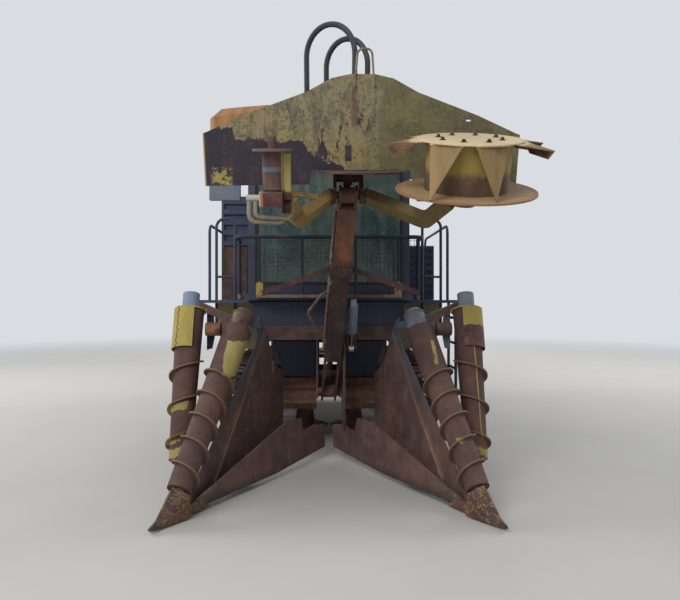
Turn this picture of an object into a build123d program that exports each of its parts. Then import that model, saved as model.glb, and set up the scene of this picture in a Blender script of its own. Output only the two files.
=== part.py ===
"""Single-row sugarcane harvester on tracks, parked with its topper raised. Millimetres, +Z up, front towards -Y."""

import os
from math import atan, cos, degrees, hypot, pi, radians, sin

from build123d import *

os.makedirs("parts", exist_ok=True)

# Driving dimensions: everything lies back from the toes of the crop dividers
toe_y = -5704.3
body_half_width = 1460
seat_gap = 0.3
running_gap = 0.05

# Tracks
track_gauge = 1880
shoe_width = 457
track_front_y = toe_y + 2300
track_length = 3300
track_height = 900
grouser_height = 36
grouser_thickness = 24
shoe_thickness = 16
shoe_pitch = 172
shoe_gap = 16
chain_thickness = 70
chain_width = 170

# Main frame
frame_half_width = 620
frame_plate = 16
frame_front_y = toe_y + 2340
frame_rear_y = toe_y + 6300
frame_bottom_z = 480
deck_z = 1600
deck_plate = 20
lifter_y = toe_y + 3560
lifter_z = 660
lifter_shaft_radius = 30

# Cab
cab_half_width = 780
cab_front_y = toe_y + 1700
cab_depth = 1450
cab_floor_z = 1660
cab_height = 1420
cab_wall = 45
cab_post = 70
cab_overhang = 30
window_glass = 6
door_thickness = 40
door_gap = 6
hinge_reach = 24
hinge_pin_radius = 9
hinge_rise = 420
roof_half_width = 1130
roof_height = 330
visor_reach = 370

# Mast and topper
mast_foot_y = toe_y + 1720
mast_foot_z = 720
mast_top_x = 150
mast_top_y = toe_y + 600
mast_top_z = 2420
mast_tube = 150
mast_pin_radius = 32
link_offset_y = 120
link_offset_z = 160
link_radius = 28
cylinder_x = 215
cylinder_pin_radius = 20
rod_pin_y = toe_y + 1690
rod_pin_z = 1140
head_x = 240
head_tilt = 15
hood_half_width = 1155
hood_depth = 300
hood_sheet = 8
drum_spacing = 666
bare_spacing = 608
spindle_y = toe_y - 130
spindle_z = 2325
drum_tilt = 21.6

# Crop dividers
divider_toe_x = 1220
divider_plate = 12
divider_pivot_y = toe_y + 2400
divider_pivot_z = 960
divider_pin_radius = 30

# Elevator and extractors
slew_y = toe_y + 6830
slew_z = 640
elevator_pivot_z = 900
elevator_width = 860
elevator_rise = 38
elevator_run = 4700
elevator_head = 1450
elevator_depth = 330
extractor_y = toe_y + 5640
extractor_radius = 500
extractor_top_z = 3900


def save(piece, node):
    """Labels a finished piece and writes it as its own STEP file."""
    piece.part.label = node
    export_step(piece.part, f"parts/{node}.step")


def bar(start, end, width, depth, side=(1, 0, 0)):
    """Adds a straight rectangular bar, its width along side, to the piece being built."""
    run = Vector(*end) - Vector(*start)
    with BuildSketch(Plane(origin=start, x_dir=side, z_dir=run.normalized())) as section:
        Rectangle(width, depth)
    extrude(section.sketch, amount=run.length)


def rod(start, end, radius):
    """Adds a straight round rod to the piece being built."""
    run = Vector(*end) - Vector(*start)
    with BuildSketch(Plane(origin=start, z_dir=run.normalized())) as section:
        Circle(radius)
    extrude(section.sketch, amount=run.length)


def sheet(plane, points, thickness, both=True):
    """Adds a flat plate of the given outline, centred on its plane, to the piece being built."""
    with BuildSketch(plane) as outline:
        with BuildLine():
            Polyline(*points, close=True)
        make_face()
    extrude(outline.sketch, amount=thickness / 2 if both else thickness, both=both)


def tube_run(points, bend, radius, sides=8):
    """Adds a tube with a many-sided section along a bent centre line to the piece being built."""
    with BuildLine() as route:
        FilletPolyline(*points, radius=bend)
    with BuildSketch(Plane(origin=route.line @ 0, z_dir=route.line % 0)) as section:
        RegularPolygon(radius, sides)
    sweep(section.sketch, path=route.line)


def box_run(points, bend, width, depth, side):
    """Adds a rectangular box section along a bent centre line to the piece being built."""
    with BuildLine() as route:
        FilletPolyline(*points, radius=bend)
    with BuildSketch(Plane(origin=route.line @ 0, x_dir=side, z_dir=route.line % 0)) as section:
        Rectangle(width, depth)
    sweep(section.sketch, path=route.line)


def loop_places(straight, radius, count):
    """Evenly spaced places round an oblong loop, each turned so that its -y points outwards."""
    pitch = (2 * straight + 2 * pi * radius) / count
    for index in range(count):
        run = index * pitch
        if run < straight:
            yield Location((run - straight / 2, -radius), 0)
        elif run < straight + pi * radius:
            turn = (run - straight) / radius
            yield Location((straight / 2 + radius * sin(turn), -radius * cos(turn)), degrees(turn))
        elif run < 2 * straight + pi * radius:
            yield Location((1.5 * straight + pi * radius - run, radius), 180)
        else:
            turn = (run - 2 * straight - pi * radius) / radius
            yield Location((-straight / 2 - radius * sin(turn), radius * cos(turn)), 180 + degrees(turn))


# Track loops: a link chain under wide shoes with one grouser bar each
belt_radius = track_height / 2 - grouser_height - shoe_thickness / 2
chain_outer = belt_radius - shoe_thickness / 2
chain_inner = chain_outer - chain_thickness
track_straight = track_length - track_height
track_y = track_front_y + track_length / 2
track_z = track_height / 2
shoe_count = round((2 * track_straight + 2 * pi * belt_radius) / shoe_pitch)
for side, hand in ((-1, "left"), (1, "right")):
    track_x = side * track_gauge / 2
    with BuildPart() as track:
        with BuildSketch(Plane.YZ.offset(track_x)):
            with Locations((track_y, track_z)):
                SlotCenterToCenter(track_straight, 2 * chain_outer + shoe_thickness)
                SlotCenterToCenter(track_straight, 2 * chain_inner, mode=Mode.SUBTRACT)
        extrude(amount=chain_width / 2, both=True)
        with BuildSketch(Plane.YZ.offset(track_x)):
            for place in loop_places(track_straight, belt_radius, shoe_count):
                with Locations(Location((track_y, track_z)) * place):
                    Rectangle(shoe_pitch - shoe_gap, shoe_thickness)
                    with Locations((0, -(shoe_thickness + grouser_height) / 2)):
                        Rectangle(grouser_thickness, grouser_height)
        extrude(amount=shoe_width / 2, both=True)
    save(track, f"track_{hand}")

# Undercarriage: two beams with idler, drive wheel and rollers, joined by two cross tubes
beam_width = 190
beam_depth = 240
idler_radius = chain_inner - seat_gap
idler_width = 120
roller_radius = 85
roller_count = 6
cross_tube_radius = 90
wheel_front_y = track_y - track_straight / 2
wheel_rear_y = track_y + track_straight / 2
roller_z = track_z - chain_inner + seat_gap + roller_radius
roller_pitch = (track_straight - 2 * roller_radius) / (roller_count - 1)
with BuildPart() as undercarriage:
    for side in (-1, 1):
        track_x = side * track_gauge / 2
        with Locations((track_x, track_y, track_z)):
            Box(beam_width, track_straight + 2 * idler_radius * 0.55, beam_depth)
        for wheel_y in (wheel_front_y, wheel_rear_y):
            with Locations(Location((track_x, wheel_y, track_z), (0, 90, 0))):
                Cylinder(idler_radius, idler_width)
                Cylinder(idler_radius * 0.4, beam_width + 60)
        for index in range(roller_count):
            roller_y = wheel_front_y + roller_radius + index * roller_pitch
            with Locations(Location((track_x, roller_y, roller_z), (0, 90, 0))):
                Cylinder(roller_radius, idler_width)
    for tube_y in (track_y - 620, track_y + 620):
        rod((-track_gauge / 2, tube_y, track_z + 60), (track_gauge / 2, tube_y, track_z + 60), cross_tube_radius)
save(undercarriage, "undercarriage")

# Main frame: two side plates that carry a deck above the cane path
frame_top_z = deck_z - deck_plate
deck_front_y = toe_y + 1850
with BuildPart() as main_frame:
    frame_rise = 420
    outline = [
        (frame_front_y, frame_bottom_z + 170),
        (frame_front_y + 260, frame_bottom_z),
        (frame_front_y + 1900, frame_bottom_z),
        (frame_rear_y, frame_bottom_z + frame_rise),
        (frame_rear_y, frame_top_z),
        (frame_front_y, frame_top_z),
    ]
    for side in (-1, 1):
        sheet(Plane.YZ.offset(side * (frame_half_width - frame_plate / 2)), outline, frame_plate)
    with Locations((0, (deck_front_y + frame_rear_y) / 2, deck_z - deck_plate / 2)):
        Box(2 * frame_half_width + 360, frame_rear_y - deck_front_y, deck_plate)
    for brace_y in (frame_front_y + 1250, frame_front_y + 2500):
        with Locations((0, brace_y, frame_top_z - 90)):
            Box(2 * frame_half_width - frame_plate, 120, 180)
    for tube_y in (track_y - 620, track_y + 620):
        with Locations(Location((0, tube_y, track_z + 60), (0, 90, 0))):
            Cylinder(cross_tube_radius + seat_gap, 4 * frame_half_width, mode=Mode.SUBTRACT)
    with Locations(Location((0, lifter_y, lifter_z), (0, 90, 0))):
        Cylinder(lifter_shaft_radius + running_gap, 4 * frame_half_width, mode=Mode.SUBTRACT)
    for side in (-1, 1):
        with Locations(Location((side * (frame_half_width + 30), divider_pivot_y, divider_pivot_z), (0, 90, 0))):
            Cylinder(divider_pin_radius, 60)
save(main_frame, "main_frame")

bracket_spacing = 105
bracket_plate = 20
# Front apron: the blue plates below the cab, and the narrow lower plate that slopes back
apron_half_width = 740
apron_front_y = toe_y + 1800
apron_bottom_z = 1350
beam_bottom_z = 1210
lower_apron_z = 800
lower_apron_y = toe_y + 2230
with BuildPart() as front_apron:
    with Locations((0, (apron_front_y + frame_front_y) / 2, (apron_bottom_z + frame_top_z) / 2)):
        Box(2 * apron_half_width, frame_front_y - apron_front_y - 2 * seat_gap, frame_top_z - apron_bottom_z - seat_gap)
    for side in (-1, 1):
        with Locations((side * 245, apron_front_y, (apron_bottom_z + frame_top_z) / 2)):
            Box(14, 10, frame_top_z - apron_bottom_z - seat_gap)
    slope = atan((lower_apron_y - apron_front_y) / (beam_bottom_z - lower_apron_z))
    lower_plane = Plane(
        origin=(0, apron_front_y + 60, beam_bottom_z), x_dir=(1, 0, 0), z_dir=(0, -cos(slope), -sin(slope))
    )
    lower_length = hypot(lower_apron_y - apron_front_y, beam_bottom_z - lower_apron_z)
    for side in (-1, 1):
        sheet(
            lower_plane,
            [
                (side * (bracket_spacing + bracket_plate + seat_gap), -20),
                (side * 545, -20),
                (side * 480, -lower_length),
                (side * (bracket_spacing + bracket_plate + seat_gap), -lower_length),
            ],
            20,
        )
save(front_apron, "front_apron")

# Front beam: rusty cross beam, mast brackets below it, and the hanger of the knockdown roller
beam_front_y = toe_y + 1770
roller_y = toe_y + 2440
knock_z = 585
knock_shaft_radius = 32
pin_reach = bracket_spacing + bracket_plate
ear_spacing = 36
loop_hose_x = 141
loop_hose_radius = 14
with BuildPart() as front_beam:
    with Locations((0, (beam_front_y + frame_front_y) / 2, (beam_bottom_z + apron_bottom_z) / 2)):
        Box(
            2 * (frame_half_width + 10),
            frame_front_y - beam_front_y - 2 * seat_gap,
            apron_bottom_z - beam_bottom_z - 2 * seat_gap,
        )
    for side in (-1, 1):
        sheet(
            Plane.YZ.offset(side * (bracket_spacing + bracket_plate / 2)),
            [
                (beam_front_y + 20, beam_bottom_z + 40),
                (beam_front_y - 30, mast_foot_z + 200),
                (mast_foot_y - 60, mast_foot_z - 60),
                (mast_foot_y + 80, mast_foot_z - 80),
                (roller_y - 60, knock_z - 20),
                (roller_y + 60, knock_z - 20),
                (roller_y + 60, knock_z + 60),
                (roller_y - 20, beam_bottom_z + 40),
            ],
            bracket_plate,
        )
    for pin_y, pin_z in (
        (mast_foot_y, mast_foot_z),
        (mast_foot_y + link_offset_y, mast_foot_z + link_offset_z),
    ):
        with Locations(Location((0, pin_y, pin_z), (0, 90, 0))):
            Cylinder(mast_pin_radius, 2 * pin_reach)
    for ear in (-1, 1):
        sheet(
            Plane.YZ.offset(cylinder_x + ear * ear_spacing),
            [
                (beam_front_y + 40, beam_bottom_z + 20),
                (beam_front_y + 40, beam_bottom_z + 120),
                (rod_pin_y - 10, rod_pin_z + 50),
                (rod_pin_y - 45, rod_pin_z),
                (rod_pin_y, rod_pin_z - 45),
                (rod_pin_y + 50, rod_pin_z - 20),
            ],
            14,
        )
        with Locations(Location((cylinder_x + ear * (ear_spacing + 10), rod_pin_y, rod_pin_z), (0, 90, 0))):
            Cylinder(cylinder_pin_radius, 20)
    tube_run(
        [
            (loop_hose_x, toe_y + 1800, beam_bottom_z + 40),
            (loop_hose_x, toe_y + 1470, beam_bottom_z - 70),
            (loop_hose_x, toe_y + 1395, 385),
            (loop_hose_x, toe_y + 1635, 385),
            (loop_hose_x, toe_y + 1635, 780),
            (loop_hose_x, toe_y + 1790, 1010),
        ],
        112,
        loop_hose_radius,
    )
    with Locations((loop_hose_x - 12, toe_y + 1785, 1000)):
        Box(34, 44, 40)
    with Locations(Location((0, roller_y, knock_z), (0, 90, 0))):
        Cylinder(knock_shaft_radius + running_gap, 4 * pin_reach, mode=Mode.SUBTRACT)
save(front_beam, "front_beam")

# Knockdown roller: one shaft with two drums of toothed paddles
knock_drum_radius = 105
knock_radius = 178
knock_inner_x = pin_reach + 12
knock_outer_x = 520
paddle_count = 6
tooth_pitch = 36
tooth_height = 16
with BuildPart() as knockdown_roller:
    with Locations(Location((0, roller_y, knock_z), (0, 90, 0))):
        Cylinder(knock_shaft_radius, 2 * (frame_half_width - frame_plate - 1))
    for side in (-1, 1):
        middle = side * (knock_inner_x + knock_outer_x) / 2
        half = (knock_outer_x - knock_inner_x) / 2
        with Locations(Location((middle, roller_y, knock_z), (0, 90, 0))):
            Cylinder(knock_drum_radius, 2 * half)
        teeth = int(2 * half / tooth_pitch)
        for index in range(paddle_count):
            turn = radians(90 + index * 360 / paddle_count)
            paddle = Plane(
                origin=(middle, roller_y, knock_z), x_dir=(1, 0, 0), z_dir=(0, -sin(turn), cos(turn))
            )
            points = [(-half, 0), (half, 0), (half, knock_radius - tooth_height)]
            for tooth in range(teeth):
                points.append((half - (tooth + 0.5) * tooth_pitch, knock_radius))
                points.append((half - (tooth + 1) * tooth_pitch, knock_radius - tooth_height))
            points.append((-half, knock_radius - tooth_height))
            sheet(paddle, points, 12)
save(knockdown_roller, "knockdown_roller")

# Base cutter: a gearbox across the throat and two counter-rotating discs on tapered legs
cutter_y = toe_y + 3050
cutter_x = 285
cutter_z = 120
cutter_radius = 262
cutter_box_z = 560
leg_top_radius = 70
leg_bottom_radius = 120
blade_count = 5
with BuildPart() as cutter_gearbox:
    with Locations((0, cutter_y, cutter_box_z + 90)):
        Box(2 * (frame_half_width - frame_plate) - 2 * seat_gap, 300, 180)
    for side in (-1, 1):
        with Locations((side * cutter_x, cutter_y, cutter_box_z + 200)):
            Cylinder(90, 60)
save(cutter_gearbox, "cutter_gearbox")
for side, hand in ((-1, "left"), (1, "right")):
    with BuildPart() as cutter:
        with Locations((side * cutter_x, cutter_y, cutter_z)):
            Cylinder(cutter_radius, 14)
        with Locations((side * cutter_x, cutter_y, (cutter_z + cutter_box_z) / 2)):
            Cone(leg_bottom_radius, leg_top_radius, cutter_box_z - cutter_z - 2 * seat_gap)
        turn_start = 0 if side < 0 else 180 / blade_count
        with Locations(Location((side * cutter_x, cutter_y, cutter_z + 9))):
            with PolarLocations(cutter_radius - 50, blade_count, start_angle=turn_start):
                Box(130, 76, 8)
    save(cutter, f"base_cutter_{hand}")

# Butt lifter: a paddled roller behind the base cutter that lifts the cut cane
lifter_radius = 150
with BuildPart() as butt_lifter:
    with Locations(Location((0, lifter_y, lifter_z), (0, 90, 0))):
        Cylinder(2 * lifter_shaft_radius, 2 * (frame_half_width - frame_plate - 12))
        Cylinder(lifter_shaft_radius, 2 * frame_half_width)
    for index in range(4):
        turn = radians(45 + index * 90)
        paddle = Plane(origin=(0, lifter_y, lifter_z), x_dir=(1, 0, 0), z_dir=(0, -sin(turn), cos(turn)))
        reach = frame_half_width - frame_plate - 12
        sheet(paddle, [(-reach, 0), (reach, 0), (reach, lifter_radius), (-reach, lifter_radius)], 12)
save(butt_lifter, "butt_lifter")

# Cab floor and ledge
cab_back_y = cab_front_y + cab_depth
cab_mid_y = cab_front_y + cab_depth / 2
cab_top_z = cab_floor_z + cab_height
with BuildPart() as cab_floor:
    with Locations((0, cab_mid_y, (deck_z + cab_floor_z) / 2)):
        Box(2 * (cab_half_width + cab_overhang), cab_depth + 2 * cab_overhang, cab_floor_z - deck_z)
save(cab_floor, "cab_floor")

# Cab shell: posts and rails round large windows, with the doorway on the machine's left
sill_z = cab_floor_z + 90
header_z = cab_top_z - 90
door_front_y = cab_front_y + 190
door_rear_y = cab_back_y - 260
door_bottom_z = cab_floor_z + 70
door_top_z = cab_top_z - 80
hinge_x = cab_half_width + hinge_reach
hinge_places = [(door_bottom_z + door_top_z) / 2 + side * hinge_rise for side in (-1, 1)]
with BuildPart() as cab_shell:
    with Locations((0, cab_mid_y, (cab_floor_z + cab_top_z) / 2)):
        Box(2 * cab_half_width, cab_depth, cab_height)
        Box(2 * (cab_half_width - cab_wall), cab_depth - 2 * cab_wall, cab_height, mode=Mode.SUBTRACT)
    with Locations((0, cab_mid_y, (sill_z + header_z) / 2)):
        Box(
            2 * (cab_half_width - cab_post), 2 * cab_depth, header_z - sill_z, mode=Mode.SUBTRACT
        )
    with Locations((-cab_half_width, cab_mid_y, (sill_z + header_z) / 2)):
        Box(4 * cab_wall, cab_depth - 2 * cab_post, header_z - sill_z, mode=Mode.SUBTRACT)
    with Locations((cab_half_width, (door_front_y + door_rear_y) / 2, (door_bottom_z + door_top_z) / 2)):
        Box(4 * cab_wall, door_rear_y - door_front_y, door_top_z - door_bottom_z, mode=Mode.SUBTRACT)
    for hinge_z in hinge_places:
        with Locations((hinge_x, door_rear_y, hinge_z)):
            Cylinder(hinge_pin_radius, 130)
        for lug in (-1, 1):
            with Locations((hinge_x, door_rear_y, hinge_z + lug * 50)):
                Cylinder(hinge_pin_radius + 5, 30)
            with Locations((hinge_x - hinge_reach / 2, door_rear_y + 22, hinge_z + lug * 50)):
                Box(hinge_reach, 40, 30)
save(cab_shell, "cab_shell")

# Cab windows: front, back and fixed side panes, set in the middle of the wall
with BuildPart() as cab_glass:
    pane_height = header_z - sill_z - 2 * seat_gap
    pane_z = (sill_z + header_z) / 2
    for pane_y in (cab_front_y + cab_wall / 2, cab_back_y - cab_wall / 2):
        with Locations((0, pane_y, pane_z)):
            Box(2 * (cab_half_width - cab_post) - 2 * seat_gap, window_glass, pane_height)
    with Locations((-cab_half_width + cab_wall / 2, cab_mid_y, pane_z)):
        Box(window_glass, cab_depth - 2 * cab_post - 2 * seat_gap, pane_height)
save(cab_glass, "cab_glass")

# Cab door: a framed door hinged at its rear edge
door_x = cab_half_width - door_thickness / 2
door_frame = 70
with BuildPart() as cab_door:
    with Locations((door_x, (door_front_y + door_rear_y) / 2, (door_bottom_z + door_top_z) / 2)):
        Box(door_thickness, door_rear_y - door_front_y - 2 * door_gap, door_top_z - door_bottom_z - 2 * door_gap)
        Box(
            2 * door_thickness,
            door_rear_y - door_front_y - 2 * door_frame,
            door_top_z - door_bottom_z - 2 * door_frame,
            mode=Mode.SUBTRACT,
        )
    for hinge_z in hinge_places:
        with Locations((hinge_x, door_rear_y, hinge_z)):
            Cylinder(hinge_pin_radius + 8, 68)
        with Locations((cab_half_width + 6, door_rear_y - door_gap - 35, hinge_z)):
            Box(12, 70, 68)
        with Locations((hinge_x, door_rear_y, hinge_z)):
            Cylinder(hinge_pin_radius + running_gap, 100, mode=Mode.SUBTRACT)
save(cab_door, "cab_door")
with BuildPart() as door_glass:
    with Locations((door_x, (door_front_y + door_rear_y) / 2, (door_bottom_z + door_top_z) / 2)):
        Box(
            window_glass,
            door_rear_y - door_front_y - 2 * door_frame - 2 * seat_gap,
            door_top_z - door_bottom_z - 2 * door_frame - 2 * seat_gap,
        )
save(door_glass, "door_glass")

# Cab roof: a deep rounded visor with oval lamp recesses along its curved front
roof_z = cab_top_z
roof_front_y = cab_front_y - visor_reach
roof_back_y = cab_back_y + 90
roof_corner_y = roof_front_y + 220
recess_count = 8
recess_pitch = 245
with BuildPart() as cab_roof:
    with BuildSketch(Plane.XY.offset(roof_z)):
        with BuildLine():
            ThreePointArc(
                (-roof_half_width, roof_corner_y), (0, roof_front_y), (roof_half_width, roof_corner_y)
            )
            Polyline(
                (roof_half_width, roof_corner_y),
                (roof_half_width, roof_back_y),
                (-roof_half_width, roof_back_y),
                (-roof_half_width, roof_corner_y),
            )
        make_face()
        fillet(vertices(), 140)
    extrude(amount=roof_height)
    chamfer(faces().sort_by(Axis.Z)[-1].edges(), 95)
    for index in range(recess_count):
        recess_x = (index - (recess_count - 1) / 2) * recess_pitch
        with BuildSketch(Plane.XZ.offset(-roof_front_y - 180)):
            with Locations((recess_x, roof_z + 120)):
                Ellipse(90, 52)
        extrude(amount=400, mode=Mode.SUBTRACT)
save(cab_roof, "cab_roof")

# Roof lamps: one in every second recess
with BuildPart() as roof_lamps:
    for index in range(0, recess_count, 2):
        recess_x = (index - (recess_count - 1) / 2) * recess_pitch
        with BuildSketch(Plane.XZ.offset(-roof_front_y - 180 + seat_gap)):
            with Locations((recess_x, roof_z + 120)):
                Ellipse(84, 46)
        extrude(amount=60)
save(roof_lamps, "roof_lamps")

# Cab guard: round tube rail and uprights in front of the windscreen
guard_half_width = 880
guard_y = cab_front_y - 190
guard_rear_y = cab_front_y + 140
guard_z = 2190
guard_tube = 19
ledge_half_width = 680
ledge_lip = 14
with BuildPart() as cab_guard:
    tube_run(
        [
            (-guard_half_width, guard_rear_y, guard_z),
            (-guard_half_width, guard_y, guard_z),
            (guard_half_width, guard_y, guard_z),
            (guard_half_width, guard_rear_y, guard_z),
        ],
        90,
        guard_tube,
    )
    for post_x in (-ledge_half_width + 30, -250, 250, ledge_half_width - 30):
        rod((post_x, guard_y, cab_floor_z - 10), (post_x, guard_y, guard_z), guard_tube * 0.7)
    for side in (-1, 1):
        foot_y = guard_rear_y - 20
        rod((side * guard_half_width, foot_y, deck_z + seat_gap), (side * guard_half_width, foot_y, guard_z), guard_tube)
    ledge_rear_y = cab_front_y - cab_overhang - seat_gap
    with Locations((0, (guard_y - ledge_lip + ledge_rear_y) / 2, cab_floor_z - 24)):
        Box(2 * ledge_half_width, ledge_rear_y - guard_y + ledge_lip, 28)
    for side in (-1, 1):
        with Locations((side * (ledge_half_width - 32), guard_y + 20, cab_floor_z + 45)):
            Box(64, 60, 110)
save(cab_guard, "cab_guard")

# Seat and console seen through the windows
seat_y = cab_front_y + 820
with BuildPart() as cab_seat:
    with Locations((0, seat_y, cab_floor_z + 220)):
        Box(300, 300, 440 - 2 * seat_gap)
    with BuildSketch(Plane.YZ):
        with Locations((seat_y, cab_floor_z + 500)):
            RectangleRounded(500, 130, 50)
        with Locations(Location((seat_y + 230, cab_floor_z + 830), 8)):
            RectangleRounded(110, 640, 50)
    extrude(amount=235, both=True)
save(cab_seat, "cab_seat")
steering_radius = 185
with BuildPart() as cab_console:
    with Locations((0, cab_front_y + 330, cab_floor_z + 330 + seat_gap)):
        Box(160, 140, 660)
    rod((0, cab_front_y + 330, cab_floor_z + 640), (0, cab_front_y + 430, cab_floor_z + 780), 25)
    wheel = Plane(Location((0, cab_front_y + 430, cab_floor_z + 790), (-35, 0, 0)))
    with BuildSketch(Plane(origin=wheel.origin, x_dir=wheel.x_dir, z_dir=-wheel.y_dir)) as rim:
        with Locations((steering_radius, 0)):
            RegularPolygon(16, 6)
    revolve(rim.sketch, axis=Axis(wheel.origin, wheel.z_dir))
    with Locations(wheel.location):
        Box(2 * steering_radius, 30, 20)
save(cab_console, "cab_console")

# Mirrors on bent arms beside the cab
mirror_x = 990
mirror_y = cab_front_y - 60
mirror_z = 2780
with BuildPart() as mirrors:
    for side in (-1, 1):
        tube_run(
            [
                (side * (cab_half_width + 12), cab_front_y + 40, cab_top_z - 260),
                (side * mirror_x, mirror_y, cab_top_z - 260),
                (side * mirror_x, mirror_y, mirror_z - 180),
            ],
            50,
            12,
        )
        with Locations((side * (cab_half_width + seat_gap + 8), cab_front_y + 40, cab_top_z - 260)):
            Box(16, 60, 60)
        with Locations((side * mirror_x, mirror_y, mirror_z)):
            Box(290, 60, 460)
save(mirrors, "mirrors")

# Side platforms with supports, handrail loops and a ladder on the machine's left
platform_front_y = toe_y + 2000
platform_rear_y = toe_y + 4900
platform_z = deck_z
platform_inner_x = frame_half_width + 180 + seat_gap
rail_radius = 17
loop_y = toe_y + 3020
loop_drop = 350
loop_inner_x = body_half_width - 350
loop_outer_x = body_half_width - 130
ladder_x = body_half_width - 60
for side, hand in ((-1, "left"), (1, "right")):
    with BuildPart() as platform:
        with Locations(
            ((side * (platform_inner_x + body_half_width) / 2, (platform_front_y + platform_rear_y) / 2,
              platform_z - 15),)
        ):
            Box(body_half_width - platform_inner_x, platform_rear_y - platform_front_y, 30)
        tube_run(
            [
                (side * loop_inner_x, loop_y, platform_z - loop_drop),
                (side * loop_inner_x, loop_y, platform_z + 960),
                (side * loop_outer_x, loop_y, platform_z + 960),
                (side * loop_outer_x, loop_y, platform_z - loop_drop),
            ],
            100,
            rail_radius,
        )
        rod(
            (side * loop_inner_x, loop_y, platform_z + 275),
            (side * loop_outer_x, loop_y, platform_z + 275),
            rail_radius * 0.8,
        )
        tube_run(
            [
                (side * (body_half_width - 30), loop_y + 100, platform_z - 20),
                (side * (body_half_width - 30), loop_y + 100, platform_z + 900),
                (side * (body_half_width - 30), platform_rear_y - 100, platform_z + 900),
                (side * (body_half_width - 30), platform_rear_y - 100, platform_z - 20),
            ],
            100,
            rail_radius,
        )
        if side > 0:
            for rail_y in (loop_y - 520, loop_y - 120):
                rod((ladder_x, rail_y, 520), (ladder_x, rail_y, platform_z - 10), rail_radius)
            for rung in range(4):
                rung_z = 560 + rung * 280
                rod((ladder_x, loop_y - 520, rung_z), (ladder_x, loop_y - 120, rung_z), rail_radius * 0.9)
    save(platform, f"platform_{hand}")

# Side tanks under the platforms, with chamfered lower outer edges
tank_front_y = toe_y + 3150
tank_length = 1500
tank_height = 560
with BuildPart() as side_tanks:
    for side in (-1, 1):
        with Locations(
            (side * (frame_half_width + 20 + 360), tank_front_y + tank_length / 2,
             platform_z - 30 - seat_gap - tank_height / 2)
        ):
            Box(720, tank_length, tank_height)
    chamfer(edges().filter_by(Axis.Y).group_by(Axis.Z)[0], 200)
save(side_tanks, "side_tanks")

# Engine bay: sheet hood over the engine, with side louvres
bay_front_y = toe_y + 3330
bay_rear_y = toe_y + 4960
bay_half_width = 640
bay_top_z = 2760
bay_sheet = 10
engine_length = 1250
with BuildPart() as engine_hood:
    with Locations((0, (bay_front_y + bay_rear_y) / 2, (deck_z + bay_top_z) / 2)):
        Box(2 * bay_half_width, bay_rear_y - bay_front_y, bay_top_z - deck_z)
    chamfer(edges().filter_by(Axis.Y).group_by(Axis.Z)[-1], 160)
    offset(amount=-bay_sheet, openings=faces().sort_by(Axis.Z)[0])
    for row in range(6):
        with Locations((0, (bay_front_y + bay_rear_y) / 2, deck_z + 300 + row * 90)):
            Box(4 * bay_half_width, 900, 40, mode=Mode.SUBTRACT)
    with Locations((-300, bay_front_y + 400, bay_top_z + 150)):
        Cylinder(55, 320)
        Cylinder(45, 400, mode=Mode.SUBTRACT)
save(engine_hood, "engine_hood")
with BuildPart() as engine_block:
    with Locations((0, (bay_front_y + bay_rear_y) / 2, deck_z + seat_gap + 470)):
        Box(760, engine_length, 940)
save(engine_block, "engine_block")

# Cooling box on the left-hand platform, with a slatted front
box_front_y = toe_y + 3200
with BuildPart() as cooling_box:
    with Locations((1080, box_front_y + 320, platform_z + seat_gap + 330)):
        Box(400, 640, 660)
    for row in range(7):
        with Locations((1080, box_front_y, platform_z + 90 + row * 84)):
            Box(340, 40, 44, mode=Mode.SUBTRACT)
save(cooling_box, "cooling_box")
# Radiator box behind the left walkway, with slats across its front
radiator_depth = 800
radiator_height = 1350
slat_rows = 9
with BuildPart() as radiator_box:
    radiator_y = toe_y + 3750
    with Locations((-1200, radiator_y + radiator_depth / 2, platform_z + seat_gap + radiator_height / 2)):
        Box(400, radiator_depth, radiator_height)
    slat_pitch = radiator_height / (slat_rows + 1)
    for row in range(slat_rows):
        with Locations((-1200, radiator_y, platform_z + slat_pitch * (row + 1))):
            Box(330, 70, slat_pitch * 0.55, mode=Mode.SUBTRACT)
save(radiator_box, "radiator_box")
with BuildPart() as stowage_box:
    with Locations((-1150, box_front_y + 220, platform_z + seat_gap + 320)):
        Box(300, 440, 640)
save(stowage_box, "stowage_box")

# Cleaning chamber: hollow walls round the chopper, and the round throat of the extractor
chamber_half_width = 600
chamber_front_y = toe_y + 5040
chamber_rear_y = toe_y + 6240
chamber_bottom_z = deck_z
chamber_top_z = 2900
chamber_wall = 12
with BuildPart() as cleaning_chamber:
    with Locations((0, (chamber_front_y + chamber_rear_y) / 2, (chamber_bottom_z + chamber_top_z) / 2)):
        Box(2 * chamber_half_width, chamber_rear_y - chamber_front_y, chamber_top_z - chamber_bottom_z)
        Box(
            2 * (chamber_half_width - chamber_wall),
            chamber_rear_y - chamber_front_y - 2 * chamber_wall,
            chamber_top_z - chamber_bottom_z - 2 * chamber_wall,
            mode=Mode.SUBTRACT,
        )
    with Locations((0, extractor_y, (chamber_top_z + extractor_top_z) / 2)):
        Cylinder(extractor_radius, extractor_top_z - chamber_top_z)
    with Locations((0, extractor_y, extractor_top_z)):
        Cylinder(extractor_radius + 45, 30)
    with Locations((0, extractor_y, (chamber_top_z + extractor_top_z) / 2)):
        Cylinder(extractor_radius - chamber_wall, extractor_top_z - chamber_top_z + 200, mode=Mode.SUBTRACT)
    with Locations((0, chamber_rear_y, chamber_bottom_z + 260)):
        Box(2 * chamber_half_width - 160, 200, 520, mode=Mode.SUBTRACT)
save(cleaning_chamber, "cleaning_chamber")


dome_steps = 7
dome_sheet = 10


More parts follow.
